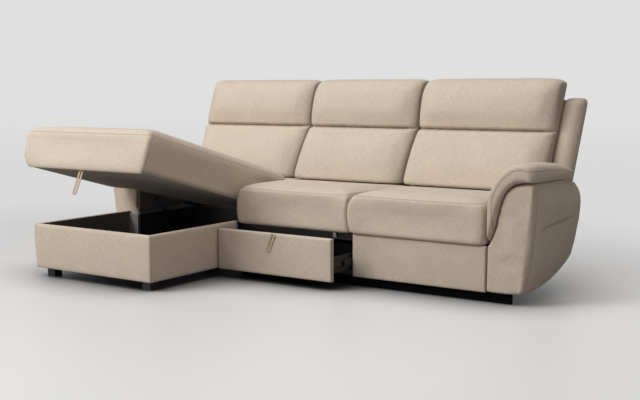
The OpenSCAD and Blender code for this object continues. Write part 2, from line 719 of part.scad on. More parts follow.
// Arms that carry the lid's board from the pins behind it
arm_gap = 1;
hinge_run = 110;
arm_drop = 16;
module lid_hinge_arms() {
    z0 = lid_z - arm_drop;
    color(steel) placed() raised() for (x = hinge_x) {
        x0 = x + ear_t + arm_gap;
        x1 = x0 + ear_t;
        difference() {
            union() {
                bar_x(x0, x1, hinge_y, hinge_z, ear_r);
                block([x0, hinge_y - ear_r, z0], [x1, hinge_y + ear_r - pin_r, hinge_z]);
                block([x0, lid_rear - hinge_run, z0], [x1, hinge_y, lid_z - flange_t]);
                block([x0, lid_rear - hinge_run, lid_z - flange_t], [x0 + flange_w, lid_rear - lid_wrap, lid_z]);
            }
            bar_x(x0 - over, x1 + over, hinge_y, hinge_z, pin_r + run_fit);
        }
    }
}
pin_head = 3;
module lid_hinge_pins() {
    color(zinc) placed() raised() for (x = hinge_x) {
        bar_x(x - pin_head, x + 2 * ear_t + arm_gap + pin_head, hinge_y, hinge_z, pin_r);
        bar_x(x + 2 * ear_t + arm_gap + clear, x + 2 * ear_t + arm_gap + pin_head, hinge_y, hinge_z, pin_r + pin_head);
    }
}

// GAS STRUTS
// Foot pins on the box's sides, head pins under the lid

foot_back = 100;
foot_rise = 40;
head_y = 120;
head_drop = 20;
strut_foot = [box_back - foot_back, leg_h + foot_rise];
strut_head = [head_y, lid_z - head_drop];
strut_r = 9;
rod_r = 4;
stud_r = 4;
eye_r = 9;
eye_t = 6;
strut_play = 0.7;
strut_set = 16;
strut_x = [-x_end + board_t + strut_set, -x_seat - wall_t - strut_set];

// Where the head pin lies with the lid raised, and the strut's length and slope there
head_arm = strut_head - [hinge_y, hinge_z];
head_up = [hinge_y, hinge_z] + [head_arm.x * cos(lid_angle) + head_arm.y * sin(lid_angle),
    -head_arm.x * sin(lid_angle) + head_arm.y * cos(lid_angle)];
strut_line = head_up - strut_foot;
strut_len = norm(strut_line);
strut_shut = norm(strut_head - strut_foot);
strut_tilt = atan2(strut_line.y, strut_line.x);
cylinder_end = strut_shut - 2 * eye_r;
rod_in = strut_len - strut_shut + 3 * eye_r;
module on_strut(x) {
    translate([x, strut_foot.x, strut_foot.y]) rotate([strut_tilt - 90, 0, 0]) children();
}
module strut_feet() {
    color(steel) placed() for (i = [0:1]) {
        wall = i == 0 ? -x_end + board_t : -x_seat - wall_t;
        x = strut_x[i];
        reach = (eye_t / 2 + pin_head) * (i == 0 ? 1 : -1);
        bar_x(min(wall, x + reach), max(wall, x + reach), strut_foot.x, strut_foot.y, stud_r);
        bar_x(i == 0 ? wall : wall - flange_t, i == 0 ? wall + flange_t : wall, strut_foot.x, strut_foot.y, 3 * stud_r);
    }
}
module strut_cylinders() {
    color(black) placed() for (x = strut_x) on_strut(x) difference() {
        union() {
            rotate([0, 90, 0]) cylinder(r = eye_r, h = eye_t, center = true, $fn = 48);
            cylinder(r = stud_r, h = 2 * eye_r, $fn = 32);
            translate([0, 0, 1.5 * eye_r]) cylinder(r = strut_r, h = cylinder_end - 1.5 * eye_r, $fn = 48);
        }
        rotate([0, 90, 0]) cylinder(r = stud_r + run_fit, h = eye_t + over, center = true, $fn = 48);
        translate([0, 0, 2 * eye_r]) cylinder(r = rod_r + run_fit, h = cylinder_end, $fn = 48);
    }
}
module strut_rods() {
    color(steel) placed() for (x = strut_x) on_strut(x) difference() {
        union() {
            translate([0, 0, cylinder_end - rod_in]) cylinder(r = rod_r, h = strut_len - cylinder_end + rod_in - stud_r - strut_play, $fn = 48);
            translate([0, 0, strut_len]) rotate([0, 90, 0]) cylinder(r = eye_r, h = eye_t, center = true, $fn = 48);
        }
        translate([0, 0, strut_len]) rotate([0, 90, 0])
            cylinder(r = stud_r + strut_play, h = eye_t + over, center = true, $fn = 48);
    }
}
module lid_strut_brackets() {
    color(steel) placed() raised() for (i = [0:1]) {
        x = strut_x[i];
        side = i == 0 ? 1 : -1;
        plate = x + side * (eye_t / 2 + arm_gap);
        near = x - side * (eye_t / 2 + arm_gap);
        far = plate + side * flange_t;
        union() {
            bar_x(min(near, far), max(near, far), strut_head.x, strut_head.y, stud_r);
            block([min(plate, far), strut_head.x - eye_r, strut_head.y - eye_r],
                [max(plate, far), strut_head.x + eye_r, lid_z - flange_t]);
            block([min(plate, plate + side * flange_w), strut_head.x - flange_w / 2, lid_z - flange_t],
                [max(plate, plate + side * flange_w), strut_head.x + flange_w / 2, lid_z]);
        }
    }
}

// PULL LOOPS
// A narrow strap folded to a loop that hangs askew

loop_w = 28;
loop_len = 100;
lid_loop_len = 130;
strap_w = 8;
strap_t = 3;
loop_skew_share = 0.42;
module loop_outline(long) {
    r = loop_w / 2;
    difference() {
        union() {
            translate([-r, -long + r]) square([loop_w, long]);
            translate([0, -long + r]) circle(r = r, $fn = 48);
        }
        translate([-r + strap_w, -long + r]) square([loop_w - 2 * strap_w, long + over]);
        translate([0, -long + r]) circle(r = r - strap_w, $fn = 48);
    }
}
module pull_loop(x, y, z, long) {
    translate([x, y, z]) difference() {
        rotate([90, atan(loop_skew_share), 0]) linear_extrude(height = strap_t) loop_outline(long);
        block([-loop_w * 2, -strap_t - over, 0], [loop_w * 2, over, loop_w * 2]);
    }
}

// DRAWER

drawer_z = panel_z;
x_front = x_seat - drawer_gap;
runner_t = 13;
x_side = x_seat - runner_t;
drawer_side_t = 12;
drawer_floor_t = 8;
rail_room = 6;
drawer_box_z = leg_h + front_rail_h + rail_room;
module pulled(share) {
    translate([0, -drawer_out * share, 0]) children();
}
module drawer_front_board() {
    color(ply) placed() pulled(1) block([-x_front + pad_t, pad_t, drawer_z + pad_t],
        [x_front - pad_t, pad_t + board_t, drawer_z + drawer_front_h - pad_t]);
}
module drawer_front_cover() {
    color(fabric) placed() pulled(1) difference() {
        block([-x_front, 0, drawer_z], [x_front, pad_t + board_t, drawer_z + drawer_front_h]);
        block([-x_front + pad_t - clear, pad_t - clear, drawer_z + pad_t - clear],
            [x_front - pad_t + clear, base_d, drawer_z + drawer_front_h - pad_t + clear]);
    }
}
drawer_front_y = pad_t + board_t;
drawer_end_y = drawer_front_y + drawer_d;
module drawer_box() {
    z0 = drawer_box_z;
    z1 = z0 + drawer_side_h;
    t = drawer_side_t;
    color(black) placed() pulled(1) {
        block([-x_side, drawer_front_y, z0], [-x_side + t, drawer_end_y, z1]);
        block([x_side - t, drawer_front_y, z0], [x_side, drawer_end_y, z1]);
        block([-x_side + t, drawer_end_y - t, z0], [x_side - t, drawer_end_y, z1]);
        block([-x_side + t, drawer_front_y, z0], [x_side - t, drawer_end_y - t, z0 + drawer_floor_t]);
    }
}

// Telescopic runners: a fixed rail on the dividers, a middle rail, and a rail on the drawer
rail_tall = 35;
rail_sheet = 1.2;
rail_y = 24;
rail_len = 396;
rail_z = drawer_box_z + (drawer_side_h - rail_tall) / 2;
rail_fixed_in = 7;
rail_lip = 8;
module channel(x_back, x_lip, z0, z1) {
    s = x_lip > x_back ? 1 : -1;
    inner = x_back + s * rail_sheet;
    y1 = rail_y + rail_len;
    block([min(x_back, inner), rail_y, z0], [max(x_back, inner), y1, z1]);
    block([min(inner, x_lip), rail_y, z0], [max(inner, x_lip), y1, z0 + rail_sheet]);
    block([min(inner, x_lip), rail_y, z1 - rail_sheet], [max(inner, x_lip), y1, z1]);
}
step_z = rail_sheet + clear;
module runner_rails_fixed() {
    color(steel) placed() both() channel(x_seat, x_seat - rail_lip, rail_z, rail_z + rail_tall);
}
module runner_rails_middle() {
    color(steel) placed() pulled(0.5) both()
        channel(x_seat - rail_sheet - clear, x_seat - rail_lip - rail_sheet, rail_z + step_z, rail_z + rail_tall - step_z);
}
module runner_rails_drawer() {
    color(zinc) placed() pulled(1) both()
        channel(x_side, x_side + runner_t - 3 * rail_sheet - 3 * clear, rail_z + 2 * step_z, rail_z + rail_tall - 2 * step_z);
}
bracket_w = 16;
bracket_h = 28;
bracket_lip = 18;
bracket_in = 100;
module drawer_stop_bracket() {
    x1 = x_front - bracket_in;
    z1 = rail_top - flange_t;
    y0 = drawer_front_y + arm_gap;
    color(zinc) placed() {
        block([x1 - bracket_w, deck_front - flange_t / 2, z1 - bracket_h], [x1, deck_front, z1]);
        block([x1 - bracket_w, y0, z1 - flange_t], [x1, deck_front, z1]);
        block([x1 - bracket_w, y0, z1 - flange_t - bracket_lip], [x1, y0 + flange_t / 2, z1]);
    }
}
loop_stand = 0.5;
loop_room = 2;
loop_shift = 5;
module drawer_pull_loop() {
    color(shade) placed() pulled(1) pull_loop(0, -loop_stand, drawer_z + drawer_front_h, loop_len);
}
module lid_pull_loop() {
    color(shade) placed() raised() pull_loop((lid_outer + lid_right) / 2 - loop_shift, -chaise_out - loop_room, lid_z,
        lid_loop_len);
}

chaise_front_board();
chaise_side_board_left();
chaise_side_board_right();
chaise_cover();
chaise_return_board();
chaise_inner_board();
chaise_rear_board();
chaise_floor_front();
chaise_floor_rear();
chaise_lining();
chaise_rear_ledge();
base_divider_left();
base_divider_right();
base_end_board();
base_rear_board();
base_bottom_board();
base_front_rail();
base_plinth();
right_front_board();
right_front_cover();
deck_frame_middle();
deck_frame_right();
deck_webbing();
seat_cushion_middle();
seat_cushion_right();
arm_body_left();
arm_body_right();
arm_pad_left();
arm_pad_right();
back_posts();
back_rails();
back_webbing();
back_cover_lower();
back_cover_upper();
back_wing_left();
back_wing_right();
back_cushion_left();
back_cushion_middle();
back_cushion_right();
legs();
leg_bolts();
hinge_uprights();
strut_feet();
runner_rails_fixed();
drawer_stop_bracket();
lid_board();
lid_cushion();
lid_lining();
lid_hinge_arms();
lid_hinge_pins();
lid_strut_brackets();
lid_pull_loop();
strut_cylinders();
strut_rods();
runner_rails_middle();
drawer_front_board();
drawer_front_cover();
drawer_box();
runner_rails_drawer();
drawer_pull_loop();
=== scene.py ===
import math

import bpy
import numpy as np
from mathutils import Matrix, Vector


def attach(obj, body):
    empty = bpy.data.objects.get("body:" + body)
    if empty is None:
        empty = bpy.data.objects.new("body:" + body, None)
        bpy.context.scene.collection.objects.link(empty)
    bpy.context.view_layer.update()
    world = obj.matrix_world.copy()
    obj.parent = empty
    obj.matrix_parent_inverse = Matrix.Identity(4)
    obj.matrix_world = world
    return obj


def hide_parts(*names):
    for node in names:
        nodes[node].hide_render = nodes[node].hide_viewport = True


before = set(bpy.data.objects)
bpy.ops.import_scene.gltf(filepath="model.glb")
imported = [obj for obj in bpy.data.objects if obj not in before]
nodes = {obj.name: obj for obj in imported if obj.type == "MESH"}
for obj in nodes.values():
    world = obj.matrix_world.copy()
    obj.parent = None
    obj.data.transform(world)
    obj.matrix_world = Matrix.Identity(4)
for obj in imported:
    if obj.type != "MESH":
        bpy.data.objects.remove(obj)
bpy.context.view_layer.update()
scene = bpy.context.scene

# CAMERA, LIGHT AND FLOOR
# A plain pale studio: the sofa stands on a light grey floor that runs back into a wall of the
# same grey. One broad soft lamp stands in front on the left, so the right-hand sides are darker.


def linear(code, alpha=1.0):
    """A colour written as sRGB hex, turned to the linear values that shaders take."""
    parts = [int(code[i:i + 2], 16) / 255 for i in (1, 3, 5)]
    return [c / 12.92 if c <= 0.04045 else ((c + 0.055) / 1.055) ** 2.4 for c in parts] + [alpha]


def add(tree, kind, inputs=None, **settings):
    """Adds a node with its settings; an input takes a value or a link from another node's output."""
    node = tree.nodes.new(kind)
    for name, value in settings.items():
        setattr(node, name, value)
    for name, value in (inputs or {}).items():
        if isinstance(value, bpy.types.NodeSocket):
            tree.links.new(value, node.inputs[name])
        else:
            node.inputs[name].default_value = value
    return node


camera = bpy.data.objects.new("camera", bpy.data.cameras.new("camera"))
scene.collection.objects.link(camera)
scene.camera = camera
camera.data.sensor_width = 36
camera.data.lens = 55.66
camera.location = (2.8057, -4.0947, 0.9315)
camera.rotation_euler = (math.radians(90 - 6.32), 0, math.radians(33.68))

scene.view_settings.view_transform = "Standard"

world = bpy.data.worlds.new("studio")
scene.world = world
world.use_nodes = True
sky = world.node_tree
sky.nodes.clear()
seen = add(sky, "ShaderNodeLightPath")
either = add(sky, "ShaderNodeMath", {0: seen.outputs["Is Camera Ray"], 1: seen.outputs["Is Glossy Ray"]},
             operation="MAXIMUM")
either = add(sky, "ShaderNodeMath", {0: either.outputs[0], 1: seen.outputs["Is Transmission Ray"]},
             operation="MAXIMUM")
room = add(sky, "ShaderNodeBackground", {"Color": linear("#f6e9de"), "Strength": 0.14})
wall = add(sky, "ShaderNodeBackground", {"Color": linear("#e0e0e0"), "Strength": 1.0})
shown = add(sky, "ShaderNodeMixShader", {0: either.outputs[0], 1: room.outputs[0], 2: wall.outputs[0]})
add(sky, "ShaderNodeOutputWorld", {"Surface": shown.outputs[0]})


def lamp(name, place, aim, size, power, tint):
    """A square soft lamp turned towards a point."""
    data = bpy.data.lights.new(name, "AREA")
    data.shape = "SQUARE"
    data.size = size
    data.energy = power
    data.color = linear(tint)[:3]
    made = bpy.data.objects.new(name, data)
    scene.collection.objects.link(made)
    made.location = place
    made.rotation_euler = (Vector(aim) - Vector(place)).to_track_quat("-Z", "Y").to_euler()
    made.visible_camera = False
    return made


lamp("key_lamp", (-3.1, -4.5, 4.55), (-0.2, 0.0, 0.4), 3.2, 312, "#ffffff")
lamp("top_lamp", (0.3, -0.6, 4.6), (0.2, -0.2, 0.3), 3.6, 88, "#ffffff")
lamp("side_lamp", (5.2, -1.6, 2.4), (1.2, 0.0, 0.4), 2.0, 15, "#fff2e6")
low_lamps = [lamp("low_lamp", (2.5, -4.6, 0.98), (-0.6, -0.2, 0.25), 1.2, 12.5, "#fff4ea"),
             lamp("left_low_lamp", (-2.7, -4.0, 0.8), (-0.9, -0.6, 0.2), 1.2, 21, "#fff4ea")]

FAR = 90  # half the floor's width, in m
floor_mesh = bpy.data.meshes.new("floor")
floor_mesh.from_pydata([(-FAR, -FAR, 0), (FAR, -FAR, 0), (FAR, FAR, 0), (-FAR, FAR, 0)], [], [(0, 1, 2, 3)])
floor = bpy.data.objects.new("floor", floor_mesh)
scene.collection.objects.link(floor)
# The low lamps stand close to the floor, so they leave it out
unlit = bpy.data.collections.new("left_out_by_low_lamps")
unlit.objects.link(floor)
unlit.collection_objects[0].light_linking.link_state = "EXCLUDE"
for low in low_lamps:
    low.light_linking.receiver_collection = unlit

# Matt painted floor: a faint gloss gives the soft mirror image that shows under the sofa.
floor_paint = bpy.data.materials.new("pale_floor_paint")
floor_paint.use_nodes = True
tree = floor_paint.node_tree
tree.nodes.clear()
seen = add(tree, "ShaderNodeLightPath")
coat = add(tree, "ShaderNodeMix", {0: seen.outputs["Is Camera Ray"], 6: linear("#868686"),
                                   7: linear("#e8e8e8")}, data_type="RGBA")
# Painted contact shade: an occlusion test darkens the floor's colour where the sofa stands within a foot of
# it
near = add(tree, "ShaderNodeAmbientOcclusion", {"Color": coat.outputs[2], "Distance": 0.36})
painted_contact_shade = add(tree, "ShaderNodeMapRange", {"Value": near.outputs["AO"], "From Min": 0.23, "From Max": 0.97,
                                        "To Min": 0.07})
spot = add(tree, "ShaderNodeTexCoord")
axes = add(tree, "ShaderNodeSeparateXYZ", {0: spot.outputs["Object"]})
# Painted light: the floor's colour falls off towards the left, as the lit part of the floor does
painted_falloff = add(tree, "ShaderNodeMapRange", {"Value": axes.outputs["X"], "From Min": -0.8, "From Max": 1.4,
                                        "To Min": 0.83, "To Max": 1.1})
painted_floor_shade = add(tree, "ShaderNodeMath", {0: painted_contact_shade.outputs[0], 1: painted_falloff.outputs[0]}, operation="MULTIPLY")
touch = add(tree, "ShaderNodeVectorMath", {0: coat.outputs[2], 3: painted_floor_shade.outputs[0]}, operation="SCALE")
paint = add(tree, "ShaderNodeBsdfPrincipled", {"Base Color": touch.outputs[0], "Roughness": 0.42})
# Seen from far off, the floor turns into the grey of the wall
far = add(tree, "ShaderNodeVectorMath", {0: spot.outputs["Object"], 1: (-0.3, -1.2, 0)},
          operation="DISTANCE")
fade = add(tree, "ShaderNodeMapRange", {"Value": far.outputs["Value"], "From Min": 1.2, "From Max": 4.6},
           interpolation_type="SMOOTHSTEP")
haze = add(tree, "ShaderNodeMapRange", {"Value": far.outputs["Value"], "From Min": 4.0, "From Max": 30.0},
           interpolation_type="SMOOTHSTEP")
back = add(tree, "ShaderNodeMix", {0: haze.outputs[0], 6: linear("#d9d9d9"), 7: linear("#e0e0e0")},
           data_type="RGBA")
distant = add(tree, "ShaderNodeEmission", {"Color": back.outputs[2], "Strength": 1.0})
amount = add(tree, "ShaderNodeMath", {0: fade.outputs[0], 1: seen.outputs["Is Camera Ray"]},
             operation="MULTIPLY")
surface = add(tree, "ShaderNodeMixShader", {0: amount.outputs[0], 1: paint.outputs[0],
                                            2: distant.outputs[0]})
add(tree, "ShaderNodeOutputMaterial", {"Surface": surface.outputs[0]})
floor_mesh.materials.append(floor_paint)

# LEGS AND PLINTH
# Seven square legs of black lacquered beech, each held by a zinc-plated bolt, and a black
# board plinth set back under the middle and end seats.


def new_finish(name, roughness, **shader):
    """A material with its shader and output; returns the material, its tree and the shader."""
    made = bpy.data.materials.new(name)
    made.use_nodes = True
    made.node_tree.nodes.clear()
    skin = add(made.node_tree, "ShaderNodeBsdfPrincipled",
               {"Roughness": roughness, **{k.replace("_", " "): v for k, v in shader.items()}})
    add(made.node_tree, "ShaderNodeOutputMaterial", {"Surface": skin.outputs[0]})
    return made, made.node_tree, skin


def patterned(name, roughness, figure, scales, tones, relief=None, stretch=None, bands=None, **shader):
    """A finish with one pattern on the piece's own coordinates, in metres: it carries the colour
    from the first tone to the second, and gives a relief of a strength and a depth. stretch scales
    the pattern along each axis."""
    made, tree, skin = new_finish(name, roughness, **shader)
    spot = add(tree, "ShaderNodeTexCoord").outputs["Object"]
    if stretch:
        spot = add(tree, "ShaderNodeMapping", {"Vector": spot, "Scale": stretch}).outputs[0]
    settings = {"bands_direction": bands} if bands else {}
    pattern = add(tree, "ShaderNodeTex" + figure, {"Vector": spot, **scales}, **settings)
    tone = add(tree, "ShaderNodeMix", {0: pattern.outputs[0], 6: linear(tones[0]), 7: linear(tones[1])},
               data_type="RGBA")
    tree.links.new(tone.outputs[2], skin.inputs["Base Color"])
    if relief:
        bump = add(tree, "ShaderNodeBump", {"Strength": relief[0], "Distance": relief[1],
                                            "Height": pattern.outputs[0]})
        tree.links.new(bump.outputs[0], skin.inputs["Normal"])
    return made


def dress(names, material):
    """Gives CAD nodes their real finish."""
    for name in names:
        nodes[name].data.materials.clear()
        nodes[name].data.materials.append(material)


# Lacquered beech: closed black film, satin, with the wood's pores just showing as fine pits. The
# pores, 0.1 by 1 mm, are drawn 1.7 by 17 mm.
leg_lacquer = patterned("black_lacquered_beech", 0.38, "Noise", {"Scale": 1.0, "Detail": 3.0},
                        ("#141316", "#1e1c1e"), relief=(0.25, 0.0003), stretch=(600, 600, 60))
dress(["legs"], leg_lacquer)

# Zinc-plated steel: bright grey with the faint mottling of a barrel-plated part, 8 mm wide
zinc = patterned("zinc_plated_steel", 0.34, "Noise", {"Scale": 120.0, "Detail": 4.0},
                 ("#a9adb2", "#c6c9cc"), Metallic=1.0)
dress(["leg_bolts", "strut_feet", "drawer_stop_bracket", "lid_hinge_pins", "strut_rods"],
      zinc)

# Chipboard with a black melamine face: matt, with a faint pressed grain of about 0.5 mm, drawn
# three times coarser so that it shows
PRESSED_GRAIN = {"Scale": 650.0, "Detail": 2.0}
black_board = patterned("black_melamine_board", 0.55, "Noise", PRESSED_GRAIN, ("#151618", "#222326"),
                        relief=(0.2, 0.0002))

# The plinth is stained black, and its colour is drawn darker than any stain as painted shade,
# so that it is lost in the shadow under the sofa. Its grain runs along the board, 8 mm wide.
shade_darkened_plinth_finish = patterned("black_stained_plinth_board", 0.9, "Noise", {"Scale": 1.0, "Detail": 3.0},
                        ("#040405", "#08080a"), stretch=(8, 120, 120), Specular_IOR_Level=0.08)
dress(["base_plinth"], shade_darkened_plinth_finish)

# BASE BOARDS
# Upright boards divide the base under the seats. Those that show inside the box and the drawer
# bay are black; the front, rear and side boards are raw birch plywood under the covers.

# Birch plywood: pale yellow wood, matt, its grain 11 mm wide and 200 mm long along the board
plywood = patterned("birch_plywood", 0.7, "Noise", {"Scale": 1.0, "Detail": 6.0, "Distortion": 0.6},
                    ("#94774f", "#b59a72"), relief=(0.3, 0.0004), stretch=(5, 90, 90))
dress(["chaise_front_board", "chaise_side_board_left", "chaise_side_board_right", "base_rear_board",
       "right_front_board", "back_posts", "back_rails", "drawer_front_board"], plywood)
dress(["chaise_inner_board", "chaise_rear_board", "chaise_floor_front",
       "chaise_floor_rear", "base_divider_left", "base_divider_right", "base_end_board",
       "base_bottom_board", "base_front_rail", "deck_frame_middle", "deck_frame_right", "drawer_box"],
      black_board)

# The return board in front of the arm is drawn a pale grey, lightened as painted light for the shade in the
# box, so it shows against the black lining
shade_lifting_grey_board = patterned("grey_melamine_board", 0.5, "Noise", PRESSED_GRAIN, ("#a5a09b", "#b4afaa"))
dress(["chaise_return_board"], shade_lifting_grey_board)

# Powder-coated black steel of the hinges, struts and runners: fine orange-peel skin, drawn at 1 mm
black_steel = patterned("black_powder_coat", 0.42, "Noise", {"Scale": 900.0, "Detail": 1.0},
                        ("#1b1c1e", "#26272a"), relief=(0.3, 0.0002))
dress(["hinge_uprights", "lid_hinge_arms", "lid_strut_brackets", "strut_cylinders", "runner_rails_fixed",
       "runner_rails_middle", "runner_rails_drawer"], black_steel)

# Spun-bonded lining: thin felt-like cloth with a soft mottled bond pattern about 2 mm apart. The
# box is lined in black, drawn as a dark grey lighter than the cloth as painted light for the deep shade
# inside the box. Taupe closes the lid's underside and wraps its plywood.
BOND = {"Scale": 420.0}
lining_cloth = patterned("black_spunbond_lining", 0.95, "Voronoi", BOND, ("#565656", "#6e6e6d"),
                         relief=(0.4, 0.0003))
taupe_lining = patterned("taupe_spunbond_lining", 0.95, "Voronoi", BOND, ("#9a8f83", "#aba093"),
                         relief=(0.4, 0.0003))
dress(["chaise_lining"], lining_cloth)
dress(["lid_lining"], taupe_lining)
dress(["lid_board"], taupe_lining)

# Elastic webbing of the decks and the back: black band with ribs 4 mm apart
webbing = patterned("black_elastic_webbing", 0.85, "Wave", {"Scale": 80.0}, ("#121213", "#2c2c2e"),
                    relief=(0.5, 0.0004))
dress(["deck_webbing", "back_webbing"], webbing)

# UPHOLSTERY CLOTH
# One warm beige woven cloth covers everything that shows. It is a plain weave of slubbed yarn,
# matt, with dust and painted shade darkening its seams and the gaps between parts. Every covered piece
# carries the cloth's own flat map.

# Warp and weft are about 1.2 mm apart on the real cloth; the slubs, 1 to 3 mm thick, are drawn
# at 4 mm so that they show, and the weave's relief at 3 mm.
cloth, tree, skin = new_finish("slub_woven_upholstery", 0.9, Sheen_Weight=0.12, Sheen_Roughness=0.5)
flat = add(tree, "ShaderNodeUVMap", uv_map="cloth")
warp_way = add(tree, "ShaderNodeMapping", {"Vector": flat.outputs[0], "Scale": (300, 40, 1)})
weft_way = add(tree, "ShaderNodeMapping", {"Vector": flat.outputs[0], "Scale": (46, 260, 1),
                                           "Location": (7, 3, 0)})
warp = add(tree, "ShaderNodeTexNoise", {"Vector": warp_way.outputs[0], "Scale": 1.0, "Detail": 2.0})
weft = add(tree, "ShaderNodeTexNoise", {"Vector": weft_way.outputs[0], "Scale": 1.0, "Detail": 2.0})
slubs = add(tree, "ShaderNodeMath", {0: warp.outputs[0], 1: weft.outputs[0]}, operation="ADD")
slubs = add(tree, "ShaderNodeMapRange", {"Value": slubs.outputs[0], "From Min": 0.7, "From Max": 1.3})
patches = add(tree, "ShaderNodeTexNoise", {"Vector": flat.outputs[0], "Scale": 9.0, "Detail": 2.0})
yarn = add(tree, "ShaderNodeMix", {0: slubs.outputs[0], 6: linear("#c0b2a2"), 7: linear("#d2c4b3")},
           data_type="RGBA")
mottle = add(tree, "ShaderNodeMapRange", {"Value": patches.outputs[0], "From Min": 0.3, "From Max": 0.7,
                                          "To Min": 0.965, "To Max": 1.02})
# The attribute "seam" is 1 on a seam and falls or rises by 1 over 30 mm on its two sides, so the
# fold beside a seam is 1 to 4 mm wide. Dust and painted shade darken it, and the same mark paints
# shade along the gaps between parts.
along = add(tree, "ShaderNodeAttribute", attribute_name="seam")
side = add(tree, "ShaderNodeMath", {0: along.outputs["Fac"], 1: 1.0}, operation="SUBTRACT")
gap = add(tree, "ShaderNodeMath", {0: side.outputs[0]}, operation="ABSOLUTE")
fold = add(tree, "ShaderNodeMapRange", {"Value": gap.outputs[0], "From Min": 0.03, "From Max": 0.12,
                                        "To Min": 0.0, "To Max": 1.0}, interpolation_type="SMOOTHSTEP")
# Painted shade, with some dust: the fold beside a seam or gap is darkened to 0.74
dust_and_painted_shade = add(tree, "ShaderNodeMapRange", {"Value": fold.outputs[0], "To Min": 0.74, "To Max": 1.0})
shade = add(tree, "ShaderNodeMath", {0: mottle.outputs[0], 1: dust_and_painted_shade.outputs[0]}, operation="MULTIPLY")
dyed = add(tree, "ShaderNodeVectorMath", {0: yarn.outputs[2], 3: shade.outputs[0]}, operation="SCALE")
ends = add(tree, "ShaderNodeTexWave", {"Vector": flat.outputs[0], "Scale": 105.0, "Distortion": 0.4})
picks = add(tree, "ShaderNodeTexWave", {"Vector": flat.outputs[0], "Scale": 105.0, "Distortion": 0.4},
            bands_direction="Y")
weave = add(tree, "ShaderNodeMath", {0: ends.outputs[1], 1: picks.outputs[1]}, operation="MULTIPLY")
height = add(tree, "ShaderNodeMath", {0: slubs.outputs[0], 1: 0.6, 2: weave.outputs[0]},
             operation="MULTIPLY_ADD")
threads = add(tree, "ShaderNodeBump", {"Strength": 0.30, "Distance": 0.0012, "Height": height.outputs[0]})
crease = add(tree, "ShaderNodeBump", {"Strength": 0.5, "Distance": 0.003, "Height": fold.outputs[0],
                                      "Normal": threads.outputs[0]})
# Soft slack in the cloth over the foam, in waves 60 to 100 mm long and a few mm high
slack = add(tree, "ShaderNodeTexNoise", {"Vector": flat.outputs[0], "Scale": 11.0, "Detail": 1.0})
waves = add(tree, "ShaderNodeBump", {"Strength": 0.5, "Distance": 0.006, "Height": slack.outputs[0],
                                     "Normal": crease.outputs[0]})
tree.links.new(dyed.outputs[0], skin.inputs["Base Color"])
tree.links.new(waves.outputs[0], skin.inputs["Normal"])

MM = 0.001  # a millimetre in the frame's metres
SEAM_REACH = 30  # how far from a seam its attribute reaches, in mm


def corners(piece):
    """The piece's points as an array, in metres."""
    flat_list = np.empty(len(piece.data.vertices) * 3, np.float32)
    piece.data.vertices.foreach_get("co", flat_list)
    return flat_list.reshape(-1, 3).astype(float)


def lay_cloth(piece, seam=None):
    """Lays the cloth flat over the piece, panel by panel, and marks its seams for dust and painted shade.
    seam gives the signed distance in mm of each point from the nearest seam, or from an edge in a gap that
    gets painted shade."""
    mesh = piece.data
    faces = len(mesh.polygons)
    normal = np.empty(faces * 3, np.float32)
    mesh.polygons.foreach_get("normal", normal)
    count = np.empty(faces, np.int32)
    mesh.polygons.foreach_get("loop_total", count)
    axis = np.repeat(np.abs(normal.reshape(-1, 3)).argmax(1), count)
    index = np.empty(len(mesh.loops), np.int32)
    mesh.loops.foreach_get("vertex_index", index)
    p = corners(piece)[index]
    # Each panel is cut from another part of the cloth
    u = np.where(axis == 0, p[:, 1], p[:, 0]) + 0.31 * axis
    v = np.where(axis == 2, p[:, 1], p[:, 2]) + 0.17 * axis
    layer = mesh.uv_layers.new(name="cloth")
    layer.data.foreach_set("uv", np.column_stack([u, v]).astype(np.float32).ravel())
    if seam is not None:
        mark = mesh.attributes.new("seam", "FLOAT", "POINT")
        distance = seam(corners(piece) / MM)
        mark.data.foreach_set("value", (1 + np.clip(distance / SEAM_REACH, -1, 1)).astype(np.float32))
    mesh.polygons.foreach_set("use_smooth", np.ones(faces, bool))
    mesh.materials.clear()
    mesh.materials.append(cloth)


# CHAISE BOX AND FRONT PANELS
# The box under the raised seat has three boards in one wrapped, thinly padded cover with a
# stitched seam at each front corner. The panel under the end seat is covered in the same way.

BOX_LEFT, BOX_RIGHT, BOX_FRONT, BOX_BACK = -1125, -345, -652, -0.4
BOX_CORNER = 12  # radius of the cover round the two front corners, in mm
# Across the wall: distance in from the cover's face, and height, up the outside and over the rim
wall_profile = [(2, 45), (0.4, 47), (-0.4, 60), (-1.8, 110), (-2.4, 160), (-1.6, 215), (-0.4, 245),
                (0.6, 256), (2.6, 262), (6.5, 265.6), (12, 266.2), (17, 265.8), (20.2, 264.6), (21, 261),
                (21, 255), (6, 254), (6, 45)]


def box_path(inset):
    """Plan points of the wall's face, set in by inset."""
    points = []
    r = max(1.5, BOX_CORNER - inset)
    x0, x1, y0, y1 = BOX_LEFT + inset, BOX_RIGHT - inset, BOX_FRONT + inset, BOX_BACK
    sides = [((x1, y1), (x1, y0 + r)), ((x1 - r, y0), (x0 + r, y0)), ((x0, y0 + r), (x0, y1))]
    centres = [(x1 - r, y0 + r, 0), (x0 + r, y0 + r, -90)]
    for k, (a, b) in enumerate(sides):
        for t in np.linspace(0, 1, 40):
            points.append((a[0] + (b[0] - a[0]) * t, a[1] + (b[1] - a[1]) * t))
        if k < 2:
            cx, cy, start = centres[k]
            for t in np.linspace(0, 90, 9)[1:-1]:
                turn = math.radians(start - t)
                points.append((cx + r * math.cos(turn), cy + r * math.sin(turn)))
    return np.array(points)


PANELS_Y = 128  # the front panels' plane lies this far in front of the origin, in mm


def placed(points):
    """Points in mm from the front panels' plane, turned to metres in the shared frame."""
    p = np.array(points, float)
    p[:, 1] -= PANELS_Y
    return p * MM


